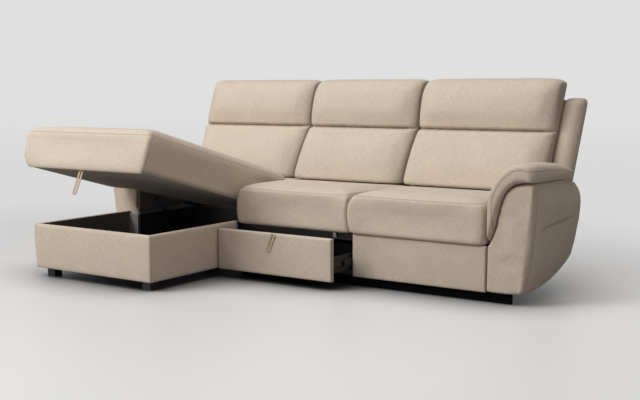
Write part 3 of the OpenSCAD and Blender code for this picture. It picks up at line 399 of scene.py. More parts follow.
def new_piece(name, points, faces):
    """An object from points in metres and faces."""
    mesh = bpy.data.meshes.new(name)
    mesh.from_pydata(np.asarray(points).tolist(), [], faces)
    mesh.update()
    made = bpy.data.objects.new(name, mesh)
    scene.collection.objects.link(made)
    return made


def smooth(x, a, b):
    """0 below a, 1 above b, and a smooth rise between."""
    t = np.clip((np.asarray(x, float) - a) / (b - a), 0, 1)
    return t * t * (3 - 2 * t)


rows = []
for d, z in wall_profile:
    face_line = box_path(d)
    row = np.column_stack([face_line, np.full(len(face_line), z)])
    # The padding is thicker towards the rim on the outer side
    row[:, 0] -= (4 + 9 * smooth(z, 45, 235)) * smooth(-row[:, 0], 1060, 1125) * (1 - smooth(d, 3, 12))
    # The side beside the drawer stays flat, clear of the runners
    row[:, 0] = np.minimum(row[:, 0], BOX_RIGHT - 0.1)
    rows.append(row)
grid = np.stack(rows, 1)
count, levels = grid.shape[:2]
faces = []
for i in range(count - 1):
    here, there = i * levels, (i + 1) * levels
    faces += [(here + j, there + j, there + (j + 1) % levels, here + (j + 1) % levels)
              for j in range(levels)]
faces += [tuple(range(levels)), tuple(range((count - 1) * levels, count * levels))[::-1]]
box_cover = new_piece("chaise_cover_cloth", placed(grid.reshape(-1, 3)), faces)


def nearest_seam(*distances):
    """Of several signed distances, the one closest to its seam at each point."""
    every = np.stack(distances)
    return np.take_along_axis(every, np.abs(every).argmin(0)[None], 0)[0]


def box_seams(p):
    """Distance from the two corner seams; the front lies on the positive side of both."""
    x, y = p[:, 0], p[:, 1] + PANELS_Y - BOX_FRONT
    return nearest_seam(4 - (x - BOX_RIGHT) - y, 4 + (x - BOX_LEFT) - y)


lay_cloth(box_cover, box_seams)
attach(box_cover, "base")
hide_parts("chaise_cover")

PANEL_DEPTH = 21  # from a panel's face to its cover's rear edge, in mm


def move_to(piece, points):
    """Puts the piece's points at these places, in metres."""
    piece.data.vertices.foreach_set("co", np.asarray(points, np.float32).ravel())
    piece.data.update()


def corner_ring(plan, radii, inset, swell, level, arc=8, side=22):
    """Points round a square-cornered plan: set in from each side, its corners rounded and its
    sides bowed by swell between the corners, with arc steps to a corner and side points to a side."""
    plan = np.array(plan, float)
    m = len(plan)
    run = np.roll(plan, -1, 0) - plan
    out = np.stack([run[:, 1], -run[:, 0]], 1) / np.linalg.norm(run, axis=1)[:, None]
    inset = np.broadcast_to(inset, m)
    arcs = []
    for i in range(m):
        a, b = out[i - 1], out[i]
        hand = 1 if a[0] * b[1] - a[1] * b[0] > 0 else -1
        r = radii[i] + 0.2 * inset[i]
        centre = plan[i] - inset[i - 1] * a - inset[i] * b - hand * r * (a + b)
        t = math.atan2(a[1], a[0]) + hand * np.linspace(0, math.pi / 2, arc + 1)
        arcs.append(centre + hand * r * np.stack([np.cos(t), np.sin(t)], 1))
    ring = []
    for i in range(m):
        t = np.linspace(0, 1, side + 2)[1:-1, None]
        start, end = arcs[i][-1], arcs[(i + 1) % m][0]
        ring += [arcs[i], start + (end - start) * t + out[i] * swell * 4 * t * (1 - t)]
    ring = np.concatenate(ring)
    return np.column_stack([ring, np.full(len(ring), level)])


def closed_form(name, rings, ladder=False):
    """A closed form from its rings, in mm; ladder closes thin ends across instead of with one face."""
    n = len(rings[0])
    last = (len(rings) - 1) * n
    faces = [(k * n + i, k * n + (i + 1) % n, (k + 1) * n + (i + 1) % n, (k + 1) * n + i)
             for k in range(len(rings) - 1) for i in range(n)]
    if ladder:
        for k in (0, last):
            faces += [(k + i, k + i + 1, k + n - 2 - i, k + n - 1 - i) for i in range(n // 2 - 1)]
    else:
        faces += [tuple(range(n))[::-1], tuple(range(last, last + n))]
    return new_piece(name, np.concatenate(rings) * MM, faces)


def padded_panel(name, x0, x1, z0, z1, y_face):
    """A board under a thin pad, its cover drawn round the edges to the rear."""
    plan = [(x0, z0), (x1, z0), (x1, z1), (x0, z1)]
    # Inset from the edge, and distance behind the face
    profile = [(0.6, PANEL_DEPTH), (0, PANEL_DEPTH - 2), (0, 12), (0.4, 8), (1.6, 4.4), (4, 1.8), (8, 0.4),
               (14, -0.2), (30, -0.9), (50, -1.4), (75, -1.8)]
    rings = [corner_ring(plan, [5] * 4, d, 0, y, arc=5, side=30) for d, y in profile]
    rings = [np.column_stack([r[:, 0], y_face + r[:, 2], r[:, 1]]) for r in rings]
    made = closed_form(name, rings)
    # Painted shade darkens its two ends, for the gaps beside them
    lay_cloth(made, lambda q: np.minimum(q[:, 0] - x0, x1 - q[:, 0]) * 0.5)
    move_to(made, placed(corners(made) / MM))
    return made


panel = padded_panel("right_front_cover_cloth", 345.3, 1036.2, 45, 252.4, 0)
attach(panel, "base")
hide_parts("right_front_cover")

# DRAWER
# A shallow black box on telescopic runners under the middle seat. Its front is a board in the
# same padded cover, with a folded strap sewn in at the top as a pull.

DRAWER_FACE, DRAWER_TOP = -171, 247  # the front's face, from the panels' plane, and its upper edge

drawer_face = padded_panel("drawer_front_cover_cloth", -339, 339, 41.5, DRAWER_TOP, DRAWER_FACE)
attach(drawer_face, "drawer")
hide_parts("drawer_front_cover")

# Beige herringbone tape of the pulls, 13 mm wide, its ribs drawn at 2 mm
tape_cloth = patterned("beige_ribbed_tape", 0.8, "Wave", {"Scale": 150.0, "Distortion": 1.0},
                       ("#a6927d", "#cdbba6"), relief=(0.5, 0.0004), bands="Z")


def pull_tape(name, long, slope, place):
    """A tape folded to a loop, hanging askew by slope; place turns its own points, with x across,
    y behind it and z up from its sewn end, to the frame."""
    bend = 9  # radius of the fold, in mm
    low = 14 - long
    line = [(-bend, z) for z in np.linspace(0, low, 24)]
    line += [(bend * math.cos(t), low + bend * math.sin(t))
             for t in np.linspace(math.pi, 2 * math.pi, 17)[1:-1]]
    line += [(bend, z) for z in np.linspace(low, 0, 24)]
    line = np.array(line)
    way = np.gradient(line, axis=0)
    way /= np.linalg.norm(way, axis=1)[:, None]
    side_way = np.column_stack([-way[:, 1], way[:, 0]])
    # The tape's section: nearly square at its edges
    turn = np.linspace(0, 2 * math.pi, 17)[:-1]
    wide = 6.4 * np.copysign(np.abs(np.cos(turn)) ** 0.35, np.cos(turn))
    deep = 1.5 + 1.45 * np.copysign(np.abs(np.sin(turn)) ** 0.7, np.sin(turn))
    skew = math.atan(slope)
    rings = []
    for c, s in zip(line, side_way):
        across, up = c[0] + s[0] * wide, c[1] + s[1] * wide
        x = across * math.cos(skew) + up * math.sin(skew)
        z = -across * math.sin(skew) + up * math.cos(skew)
        rings.append(np.column_stack([x, -deep, np.minimum(z, 0)]))
    made = closed_form(name, rings)
    move_to(made, place(corners(made) / MM))
    made.data.polygons.foreach_set("use_smooth", np.ones(len(made.data.polygons), bool))
    made.data.materials.append(tape_cloth)
    return made


drawer_pull = pull_tape("drawer_pull_tape", 100, 0.42,
                        lambda p: placed(p + [9, DRAWER_FACE - 2.1, DRAWER_TOP]))
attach(drawer_pull, "drawer")
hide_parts("drawer_pull_loop")

# SEAT CUSHIONS
# Foam blocks in sewn covers: a boxed border all round, joined to the top by one seam along the
# front and side edges, and a crowned top. They rest on the decks and butt against each other.

DECK_Z, SEAT_FRONT, SEAT_REAR, SEAT_SEAM_Z = 253, -22, 599.6, 436
ARM_FACE, SHARED_EDGE, MIDDLE_EDGE = 1033.5, 345, -343.5  # upright faces of the seats, across
# Inset from the outline, and height
seat_profile = [(12, DECK_Z), (5, 256.5), (1.5, 263), (0, 280), (-1, 310), (-1, 345), (-0.5, 375), (1, 395),
                (3, 410), (6, 422), (10, 431), (15, 437), (22, 441.5), (33, 445), (50, 447.5), (80, 449.6),
                (110, 450.6), (150, 451)]


def applied(piece):
    """Makes the piece's modifiers part of its mesh."""
    graph = bpy.context.evaluated_depsgraph_get()
    result = bpy.data.meshes.new_from_object(piece.evaluated_get(graph))
    piece.modifiers.clear()
    old = piece.data
    piece.data = result
    bpy.data.meshes.remove(old)
    result.name = piece.name


def filled(piece, voxel, cap, free):
    """Lets air pressure fill a sewn cover as its stuffing does, by no more than cap, in mm. free says,
    from 0 to 1, how far each point may move: seams and faces that lie against a board or a neighbour
    stay where they are."""
    remesh = piece.modifiers.new("remesh", "REMESH")
    remesh.mode = "VOXEL"
    remesh.voxel_size = voxel * MM
    applied(piece)
    rest = corners(piece)
    air = piece.modifiers.new("air", "CLOTH")
    air.settings.use_pressure = True
    air.settings.uniform_pressure_force = 4.0
    air.settings.effector_weights.gravity = 0
    air.settings.quality = 4
    air.settings.shrink_min = -0.012
    air.settings.bending_stiffness = 0.6
    for step in range(1, 21):
        scene.frame_set(step)
    graph = bpy.context.evaluated_depsgraph_get()
    grown = piece.evaluated_get(graph).data
    flat_list = np.empty(len(grown.vertices) * 3, np.float32)
    grown.vertices.foreach_get("co", flat_list)
    piece.modifiers.clear()
    scene.frame_set(1)
    shift = flat_list.reshape(-1, 3) - rest
    size = np.linalg.norm(shift, axis=1)[:, None] + 1e-9
    limit = cap * MM
    shift *= limit * np.tanh(size / limit) / size
    move_to(piece, rest + shift * free(rest / MM)[:, None])
    finer = piece.modifiers.new("finer", "SUBSURF")
    finer.levels = 1
    finer.render_levels = 1
    applied(piece)


def seat_form(name, x0, x1, radii):
    """A seat cushion between two upright faces, with the radii of its corners in plan."""
    plan = [(x0, SEAT_FRONT), (x1, SEAT_FRONT), (x1, SEAT_REAR), (x0, SEAT_REAR)]
    rings = []
    for d, z in seat_profile:
        # The sides pull in between the corners
        bow = -3.0 * math.sin(math.pi * min(1, (z - DECK_Z) / 200))
        rings.append(corner_ring(plan, radii, d, bow, z))
    made = closed_form(name, rings)

    def free(p):
        x, y, z = p.T
        inner = np.minimum(x - x0, x1 - x)
        top = smooth(z, 432, 446) * smooth(inner, 2, 80) * smooth(y, -14, 50) * (1 - smooth(y, 330, 470))
        border = np.sin(np.pi * np.clip((z - 256) / 180, 0, 1))
        face = (1 - smooth(y, -20, 20)) * border * smooth(inner, 0, 60)
        return np.clip(0.45 * top + 0.55 * face, 0, 1)

    filled(made, 12, 22, free)
    p = corners(made) / MM

    def seams(q):
        across = (q[:, 0] - x0) / (x1 - x0)
        return q[:, 2] - SEAT_SEAM_Z + 3 * np.sin(np.pi * np.clip(across, 0, 1))

    def marks(q):
        # Painted shade: the edge against the arm is darkened as a seam is
        return nearest_seam(seams(q), np.where(q[:, 0] > 1000, (ARM_FACE - q[:, 0]) * 0.5, 60))

    # The seam draws in a shallow line, and the top sinks under the back cushions
    p[:, 2] -= 1.6 * np.exp(-(seams(p) / 5) ** 2) \
        + 6 * smooth(p[:, 1], 280, 470) * smooth(p[:, 2], SEAT_SEAM_Z, 446)
    # The two cushions press together in front, and the end one swells over the middle one
    swell = 0.35 + 0.65 * np.sin(np.pi * np.clip((p[:, 2] - DECK_Z) / 190, 0, 1))
    p[:, 0] -= 22 * np.exp(-np.abs(p[:, 0] - SHARED_EDGE) / 90) * swell \
        * (1 - 0.75 * smooth(p[:, 1], 0, 380))
    p[:, 0] -= 7 * np.exp(-np.abs(p[:, 0] - MIDDLE_EDGE) / 60) * swell * (1 - smooth(p[:, 1], 0, 160))
    move_to(made, p * MM)
    lay_cloth(made, marks)
    move_to(made, placed(p))
    return made


for name, x0, x1, radii in (("seat_cushion_middle", MIDDLE_EDGE, SHARED_EDGE - 0.4, [34, 9, 16, 16]),
                            ("seat_cushion_right", SHARED_EDGE + 0.4, ARM_FACE, [12, 40, 16, 16])):
    seat = seat_form(name + "_cloth", x0, x1, radii)
    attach(seat, "base")
    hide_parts(name)

# ARMS
# Each arm is a foam-padded frame in a shaped cover, narrow at the foot, with a soft seam down its
# outer front corner and a stitched dart on its outer side. A wrapped pad lies over its top.


def spline(points, per):
    """A smooth line through the points, with per steps between each two."""
    p = np.array(points, float)
    p = np.vstack([2 * p[0] - p[1], p, 2 * p[-1] - p[-2]])
    line = []
    for i in range(1, len(p) - 2):
        for t in np.arange(per) / per:
            a, b, c, d = p[i - 1:i + 3]
            line.append(0.5 * (2 * b + (c - a) * t + (2 * a - 5 * b + 4 * c - d) * t * t
                               + (3 * b - a - 3 * c + d) * t ** 3))
    return np.array(line + [p[-2]])


# The arm's width and height, and the end of the base that it stands against, in mm
ARM_W, ARM_H, X_END = 223, 624, 1035
# Points of its front outline, as shares of its width and height: the outer side from the foot up,
# the seam between body and pad from outside to inside, and the pad's top from inside to outside
outer_shares = [(0.62, 0.072), (0.76, 0.076), (0.84, 0.18), (0.92, 0.34), (0.973, 0.495), (1, 0.68),
                (0.991, 0.803)]
seam_shares = [(0.946, 0.859), (0.87, 0.8595), (0.77, 0.858), (0.68, 0.8545), (0.58, 0.846), (0.48, 0.825),
               (0.39, 0.79), (0.33, 0.751), (0.285, 0.706), (0.25, 0.66), (0.215, 0.605), (0.157, 0.514)]
top_shares = [(0.03, 0.57), (0.036, 0.74), (0.085, 0.8), (0.175, 0.861), (0.31, 0.921), (0.45, 0.964),
              (0.58, 0.986), (0.7, 0.992), (0.8, 0.99), (0.9, 0.982), (0.97, 0.967), (1.008, 0.938),
              (1.017, 0.9), (1.01, 0.885), (0.985, 0.872)]
TIP_SHARE = (0.0314, 0.4054)  # where the pad ends in front, beside the seat
# Along the arm: share of its length, and shares of the rise of its foot and of its seam
tail = np.array([(0, 0, 1), (0.03, 0, 1), (0.25, 0.02, 0.995), (0.42, 0.1, 0.99), (0.58, 0.23, 0.985),
                 (0.74, 0.45, 0.966), (0.8, 0.55, 0.959), (0.9, 0.76, 0.94), (0.97, 0.93, 0.86),
                 (1, 1, 0.79)])
# Its length, and the heights of its foot in front and behind, and of its seam in front
ARM_LENGTH, PANEL_Z, TAIL_Z, SEAM_Z = 600, 45, 141, 0.859 * ARM_H


def arm_points(shares, per):
    """A smooth line through points given as shares of the arm."""
    return spline([(X_END + a * ARM_W, b * ARM_H) for a, b in shares], per)


def squeezed(z, y):
    """Height of an outline's point at one place along the arm."""
    k = np.asarray(y) / ARM_LENGTH
    low = PANEL_Z + np.interp(k, tail[:, 0], tail[:, 1]) * (TAIL_Z - PANEL_Z)
    high = PANEL_Z + np.interp(k, tail[:, 0], tail[:, 2]) * (SEAM_Z - PANEL_Z)
    return low + (z - PANEL_Z) * (high - low) / (SEAM_Z - PANEL_Z)


# The dart's line on the outer side, and the outer front corner up the arm
DART_Y, DART_Z = [9, 103, 447], [322, 333, 350]
CORNER_Z, CORNER_X = [45, 112, 212, 309, 424, 501], [1193, 1216, 1232, 1243, 1249, 1246]


def arm_form(name):
    """The right arm's body: its outline, drawn back along the arm and rounded at both ends."""
    inner = spline([(1037, PANEL_Z), (1037, 149), (1037, 246), (1042, DECK_Z)], 6)[:-1]
    foot = spline([(X_END + 0.62 * ARM_W, PANEL_Z), (X_END + 74, PANEL_Z), (1037, PANEL_Z)], 6)[:-1]
    outline = np.vstack([inner, arm_points([TIP_SHARE] + seam_shares[::-1], 3)[:-1],
                         arm_points([seam_shares[0]] + outer_shares[::-1], 4)[:-1], foot])
    middle = (outline.min(0) + outline.max(0)) / 2
    # The cover is drawn tight along the panel and the pad, and rolls softly round the outer side
    soft = 0.2 + 0.9 * smooth(outline[:, 0], 1120, 1190) * (1 - 0.75 * smooth(outline[:, 1], 480, 535)) \
        * (0.25 + 0.75 * smooth(outline[:, 1], 48, 120))
    # Place along the arm, and how far the outline is drawn in there
    ends = [(-1.5, 46), (0, 34), (4, 24), (10, 16.5), (20, 9), (34, 3.5), (50, 0.8)]
    ends += [(y, 0) for y in range(75, 540, 30)]
    ends += [(555, 2), (575, 5), (590, 9), (598, 13), (ARM_LENGTH, 17)]
    rings = []
    for y, e in ends:
        run = middle - outline
        ring = outline + run / np.linalg.norm(run, axis=1)[:, None] * e * soft[:, None]
        rings.append(np.column_stack([ring[:, 0], np.full(len(ring), y), squeezed(ring[:, 1], y)]))
    made = closed_form(name, rings)

    def free(p):
        x, y, z = p.T
        front = (1 - smooth(y, 4, 30)) * smooth(x, 1050, 1110) * (1 - smooth(x, 1200, 1250)) \
            * smooth(z, 60, 120) * (1 - smooth(z, 400, 520))
        outer = smooth(x, 1150, 1200) * smooth(y, 20, 90) * (1 - smooth(y, 520, 590)) * smooth(z, 70, 160) \
            * (1 - smooth(z, 470, 530))
        return np.clip(0.3 * front + 0.5 * outer, 0, 1)

    filled(made, 11, 20, free)
    p = corners(made) / MM
    x, y, z = p.T
    # The dart pulls a shallow fold across the outer side, deepest at its stitched end
    dart_line = np.interp(y, DART_Y, DART_Z)
    dart = smooth(x, 1180, 1225) * smooth(y, 60, 160) * (1 - smooth(y, 440, 500)) \
        * np.exp(-((z - dart_line) / 13) ** 2)
    corner = np.interp(z, CORNER_Z, CORNER_X)
    # A shallow valley follows the seam down the outer front corner
    valley = np.exp(-(((x - corner) * 0.3 + y - 34) / 15) ** 2) * smooth(x, 1150, 1185) \
        * (1 - smooth(z, 480, 530))
    p[:, 0] -= 13 * dart * (1 - 0.5 * smooth(y, 150, 440)) + 4 * valley
    move_to(made, p * MM)

    def seams(q):
        x, y, z = q.T
        edge = np.where((y < 75) & (x > 1170), (x - corner) * 0.3 + (y - 34), 30)
        line = np.where((x > 1190) & (y > 70) & (y < 470), z - dart_line, 30)
        # Painted shade: the inner edge, in the gap beside the end panel, is darkened as a seam is
        inner_edge = np.where((x < 1060) & (y < 60), (x - 1037) * 0.5, 30)
        return nearest_seam(edge, line, inner_edge)

    lay_cloth(made, seams)
    return made


# The pad's length along its outline, by share of the arm's width
run_shares = np.array([(0, 1.16), (0.35, 1.3), (0.75, 1.24), (0.83, 1.229), (0.9, 1.2), (0.96, 1.151),
                       (1, 1.091), (1.02, 1)])
PAD_FRONT, PAD_LENGTH = -22, 431  # its front, and the length that run_shares multiply, in mm


def pad_form(name):
    """The right arm's pad: the space between its top and the seam, drawn back along the arm."""
    top = arm_points([TIP_SHARE] + top_shares, 3)
    low = arm_points([TIP_SHARE] + seam_shares[::-1], 3)
    m = len(top)
    share = np.linspace(0, 1, m)
    low = np.column_stack([np.interp(share, np.linspace(0, 1, len(low)), low[:, k]) for k in (0, 1)])
    # Share of the length, and how far the top and the underside are drawn in there
    ends = [(0, 13, 30), (0.004, 9, 24), (0.012, 5, 18), (0.025, 2.2, 12), (0.05, 0.5, 5), (0.08, 0, 1.5)]
    ends += [(s, 0, 0) for s in np.linspace(0.12, 0.88, 20)]
    ends += [(0.91, 1.5, 1.5), (0.94, 4, 4), (0.965, 8, 8), (0.985, 13, 13), (1, 19, 19)]
    rings = []
    for s, above, below in ends:
        sides = []
        for line, other, e in ((top, low, above), (low, top, below)):
            gap_way = other - line
            thick = np.linalg.norm(gap_way, axis=1)[:, None] + 1e-6
            q = line + gap_way / thick * np.minimum(e, thick * 0.46)
            length = PAD_LENGTH * np.interp((q[:, 0] - X_END) / ARM_W, run_shares[:, 0], run_shares[:, 1])
            y = PAD_FRONT + s * (length - PAD_FRONT)
            lift = 1.2 if line is low else 0.0
            sides.append(np.column_stack([q[:, 0], y, squeezed(q[:, 1], y) + lift]))
        rings.append(np.vstack([sides[0], sides[1][::-1]]))
    made = closed_form(name, rings, ladder=True)

    def free(p):
        x, y, z = p.T
        return 0.35 * smooth(y, -10, 40) * (1 - smooth(y, 380, 480)) * smooth(x, 1090, 1150) \
            * smooth(z, 560, 600)

    filled(made, 8, 14, free)
    p = corners(made) / MM
    x, y, z = p.T
    # The outer front corner is rounded in plan, and the pad sinks a little towards the rear
    p[:, 0] -= 17 * smooth(x, 1205, 1258) * (1 - smooth(y, -24, 24)) ** 2
    p[:, 2] -= 8 * smooth(y, 150, 480) * smooth(z, 545, 600)
    move_to(made, p * MM)

    edge = arm_points([(0.028, 0.3)] + top_shares[:8] + [(1.3, 0.987)], 8)
    turn_down = 27  # the top panel turns down over the front and the outer side by this much, in mm

    def seams(q):
        x, y, z = q.T
        from_top = np.min([np.hypot(x - a, z - b) for a, b in edge], axis=0)
        front = np.where((y < 10) & (x < 1215), turn_down - from_top, 60)
        level = squeezed(0.986 * ARM_H, y) - turn_down - 6 * smooth(y, 150, 480)
        outer = np.where((x >= 1215) & (y > -30), z - level, 60)
        # Painted shade: the inner edge, in the gap beside the seat, is darkened as a seam is
        inner_edge = np.where((x < 1060) & (z < 440), (x - 1038) * 0.5, 60)
        return nearest_seam(front, outer, inner_edge)

    lay_cloth(made, seams)
    return made


def mirrored(piece, name):
    """The same piece for the other side, turned right side out."""
    twin = bpy.data.objects.new(name, piece.data.copy())
    scene.collection.objects.link(twin)
    move_to(twin, corners(twin) * [-1, 1, 1])
    twin.data.flip_normals()
    return twin


arm = arm_form("arm_body_right_cloth")
pad = pad_form("arm_pad_right_cloth")
for piece in (arm, pad):
    move_to(piece, placed(corners(piece) / MM))
left_arm = mirrored(arm, "arm_body_left_cloth")
left_pad = mirrored(pad, "arm_pad_left_cloth")
# Below the seat the left arm's inner side closes the storage box, so it has the black lining
for piece in (left_arm, left_pad):
    piece.data.materials.append(lining_cloth)
    for face in piece.data.polygons:
        x, y, z = face.center
        if face.normal.x > 0.5 and x > -1.12 and y > -0.115 and z < 0.5:
            face.material_index = 1
for piece, node in ((arm, "arm_body_right"), (pad, "arm_pad_right"), (left_arm, "arm_body_left"),
                    (left_pad, "arm_pad_left")):
    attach(piece, "base")
    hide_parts(node)

# BACK
# A leaning frame of posts and rails carries three loose-looking but fixed cushions. Each has a
# deep sewn channel that parts the head part from the back part. Padded wings close the ends.

KINK_Z = 447  # the height at which the back starts to lean, in mm


def lean(z):
    """Depth of the back's front plane at a height."""
    return 600 + 0.5 * (z - KINK_Z)


# A cushion up its height: share of height, thickness share at its sides and in its middle
back_profile = spline([(0, 0.46, 0.72), (0.01, 0.52, 0.9), (0.04, 0.56, 0.98), (0.13, 0.58, 1.01),
                       (0.25, 0.56, 0.98), (0.38, 0.52, 0.9), (0.474, 0.47, 0.8), (0.528, 0.45, 0.76),
                       (0.6, 0.5, 0.84), (0.7, 0.6, 0.93), (0.82, 0.7, 1), (0.92, 0.76, 1.01),
                       (0.97, 0.73, 0.94), (0.992, 0.64, 0.8), (1, 0.5, 0.6)], 4)
BACK_FOOT, BACK_TOP, BACK_THICK = 448, 993, 150
CHANNEL_Z = BACK_FOOT + 0.518 * (BACK_TOP - BACK_FOOT)  # height of the sewn channel


def back_form(name, x0, x1, drops):
    """A back cushion between two sides; drops says how far its top falls towards each of them."""
    rings = []
    for s in np.sin(np.linspace(-math.pi / 2, math.pi / 2, 53)):
        top = BACK_TOP - drops[0 if s < 0 else 1] * abs(s) ** 12
        # Full along its left edge, rolled away along its right one
        tuck = 14 * abs(s) ** 22 if s < 0 else 32 * s ** 16
        bulge = max(0.0, 1 - abs(s) ** (9 if s < 0 else 4)) ** 0.55
        z = BACK_FOOT + back_profile[:, 0] * (top - BACK_FOOT)
        t = BACK_THICK * (back_profile[:, 1] + (back_profile[:, 2] - back_profile[:, 1]) * bulge) - tuck
        x = np.full(len(z), (x0 + x1) / 2 + s * (x1 - x0) / 2)
        rear = np.column_stack([x, np.full(len(z), 10.6), z])
        front = rear - np.column_stack([np.zeros(len(z)), t, np.zeros(len(z))])
        rings.append(np.vstack([rear, front[::-1]]))
    made = closed_form(name, rings, ladder=True)

    def free(p):
        x, y, z = p.T
        inner = np.minimum(x - x0, x1 - x)
        up = np.abs(z - CHANNEL_Z)
        return 0.5 * smooth(-y, 50, 90) * smooth(inner, 10, 70) * smooth(up, 8, 120) * smooth(z, 455, 580) \
            * (1 - 0.7 * smooth(z, 940, 980))

    filled(made, 11, 24, free)
    p = corners(made) / MM
    x, y, z = p.T
    # Rows of the mesh are drawn together at the channel, then the channel is pulled in. The head part
    # rolls over it, and the part below meets it with a short lip.
    near = z - CHANNEL_Z
    z = z - near * 0.5 * np.exp(-(near / 26) ** 2)
    near = z - CHANNEL_Z
    inner = np.minimum(x - x0, x1 - x)
    front = smooth(-y, 20, 60)
    pucker = 1 + 0.1 * np.sin(x / 17.0) * np.sin(x / 41.0 + 1)
    roll = np.where(near > 0, 14 * np.exp(-np.abs(near / 46) ** 1.4),
                    13 * np.exp(-np.abs(near / 11) ** 1.6))
    groove = 25 * np.exp(-np.abs((near - 1) / 8) ** 2)
    y = y + front * (0.5 + 0.5 * smooth(inner, 2, 60)) * pucker * (roll + groove)
    if x0 > -1000:
        # Its face swells over the neighbour on its left
        x = x - 15 * np.exp(-(x - x0) / 70) * smooth(-y, 30, 90) * (1 - 0.8 * smooth(z, 900, 990))
    if x0 < -1000:
        # The end cushion has a boxed outer side, full to its corner
        height = (z - BACK_FOOT) / (BACK_TOP - BACK_FOOT)
        end = np.exp(-(x - x0) / 60) * front
        y = y - end * np.interp(height, [0, 0.3, 0.36, 0.5, 0.6, 0.8, 1], [0, 4, 8, 34, 34, 26, 22])
        x = x - end * np.interp(height, [0, 0.3, 0.36, 0.5, 0.6, 0.8, 0.93, 1],
                                [0, 2, 4, 15, 14, 8, 10, 22])
    p = np.column_stack([x, y, z])
    move_to(made, p * MM)

    def seams(q):
        x, y, z = q.T
        line = np.where(y < 0, z - CHANNEL_Z, 30)
        # Painted shade: where two cushions press together the cloth is darkened as in a seam
        left_side = (x - x0 + 14) * 0.4 if x0 > -1000 else 60
        sides = np.minimum(left_side, np.maximum(x1 - x, 0) * 0.4)
        return nearest_seam(line, np.where(y < 0, np.sign(line) * np.maximum(sides, 0), 60))

    lay_cloth(made, seams)
    p[:, 1] += lean(p[:, 2])
    move_to(made, placed(p))
    return made


for name, x0, x1, drops in (("back_cushion_left", -1086, -377, (2, 14)),
                            ("back_cushion_middle", -350, 312, (10, 14)),
                            ("back_cushion_right", 339, 1077.5, (10, 26))):
    back = back_form(name + "_cloth", x0, x1, drops)
    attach(back, "base")
    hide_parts(name)

WING_INNER, WING_DEPTH, WING_TOP = 1079, 105, 892


def wing_form(name):
    """The right wing: its outline from the side, drawn across from the cushion to its outer face."""
    plan = [(0, KINK_Z), (WING_DEPTH, KINK_Z), (WING_DEPTH, WING_TOP), (0, WING_TOP)]
    # Distance out from the cushion, and insets of the outline and of its front edge. The inner part
    # runs in behind the end cushion, up to the post.
    insets = [(-12.6, 18, 18), (-11, 14, 14), (-1.5, 13, 13), (0, 5, 5), (3, 1, 1), (8, 0, 0),
              (30, -2, -2), (44, -2, -1), (54, -2, 1.5), (62, -1, 6), (69, 0, 12), (75, 1, 20),
              (79.5, 4, 28), (83, 8, 38), (85, 14, 48)]
    rings = [corner_ring(plan, [10, 10, 32, 32], [d, d, d, front], 0, WING_INNER + x, arc=8, side=24)
             for x, d, front in insets]
    rings = [np.column_stack([r[:, 2], r[:, 0], r[:, 1]]) for r in rings]
    made = closed_form(name, rings)

    def free(p):
        x, y, z = p.T
        return 0.4 * smooth(z, KINK_Z + 20, 540) * (1 - smooth(z, 830, 880)) * (1 - smooth(y, 60, 90)) \
            * smooth(x, 1085, 1100)

    filled(made, 9, 14, free)
    p = corners(made) / MM
    # The face turns a little outwards from the cushion
    p[:, 1] += 19 * (p[:, 0] - WING_INNER) / 85 * (1 - smooth(p[:, 1], 20, 80))
    p[:, 0] += 4 * smooth(p[:, 0], 1090, 1160)

    def seams(q):
        # One seam near the outer edge; the inner side, against the cushion, gets painted shade as dark as a
        # seam
        x, y, z = q.T
        return np.where(x > 1120, (x - 1158) + (y - 42) * 0.5, -np.clip((x - 1081) * 0.7, 0, 60))

    lay_cloth(made, seams)
    p[:, 1] += lean(p[:, 2])
    move_to(made, placed(p))
    return made


def wing_foot(name):
    """The padded block under a wing, behind the arm."""
    plan = [(1065.6, 605), (1157, 605), (1157, 697), (1065.6, 697)]
    rings = [corner_ring(plan, [4, 14, 14, 4], d, 0, z, arc=6, side=10)
             for z, d in [(136, 6), (139, 2), (146, 0), (250, 0), (350, 0), (440, 0), (447, 1), (450.5, 5)]]
    made = closed_form(name, rings)
    lay_cloth(made)
    move_to(made, placed(corners(made) / MM))
    return made


right_wing = wing_form("back_wing_right_cloth")
left_wing = mirrored(right_wing, "back_wing_left_cloth")
right_foot = wing_foot("back_wing_foot_right_cloth")
left_foot = mirrored(right_foot, "back_wing_foot_left_cloth")
for piece, node in ((right_wing, "back_wing_right"), (left_wing, "back_wing_left"),
                    (right_foot, None), (left_foot, None)):
    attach(piece, "base")
    if node:
        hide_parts(node)

# Plain backing cloth of the rear panels: the same beige, flatter and finer. Its threads, 1 mm
# apart, are drawn 4 mm wide.
backing, tree, skin = new_finish("plain_backing_cloth", 0.92, Sheen_Weight=0.1, Sheen_Roughness=0.5)
spot = add(tree, "ShaderNodeTexCoord")
long_yarn = add(tree, "ShaderNodeMapping", {"Vector": spot.outputs["Object"], "Scale": (240, 240, 40)})
threads = add(tree, "ShaderNodeTexNoise", {"Vector": long_yarn.outputs[0], "Scale": 1.0, "Detail": 2.0})
weft_line = add(tree, "ShaderNodeMapping", {"Vector": spot.outputs["Object"], "Scale": (40, 240, 240)})
weft_noise = add(tree, "ShaderNodeTexNoise", {"Vector": weft_line.outputs[0], "Scale": 1.0, "Detail": 2.0})
both_ways = add(tree, "ShaderNodeMath", {0: threads.outputs[0], 1: weft_noise.outputs[0]}, operation="ADD")
both_ways = add(tree, "ShaderNodeMapRange", {"Value": both_ways.outputs[0], "From Min": 0.7,
                                             "From Max": 1.3})
tone = add(tree, "ShaderNodeMix", {0: both_ways.outputs[0], 6: linear("#b9a794"), 7: linear("#cbbaa8")},
           data_type="RGBA")
relief = add(tree, "ShaderNodeBump", {"Strength": 0.3, "Distance": 0.001, "Height": both_ways.outputs[0]})
tree.links.new(tone.outputs[2], skin.inputs["Base Color"])
tree.links.new(relief.outputs[0], skin.inputs["Normal"])

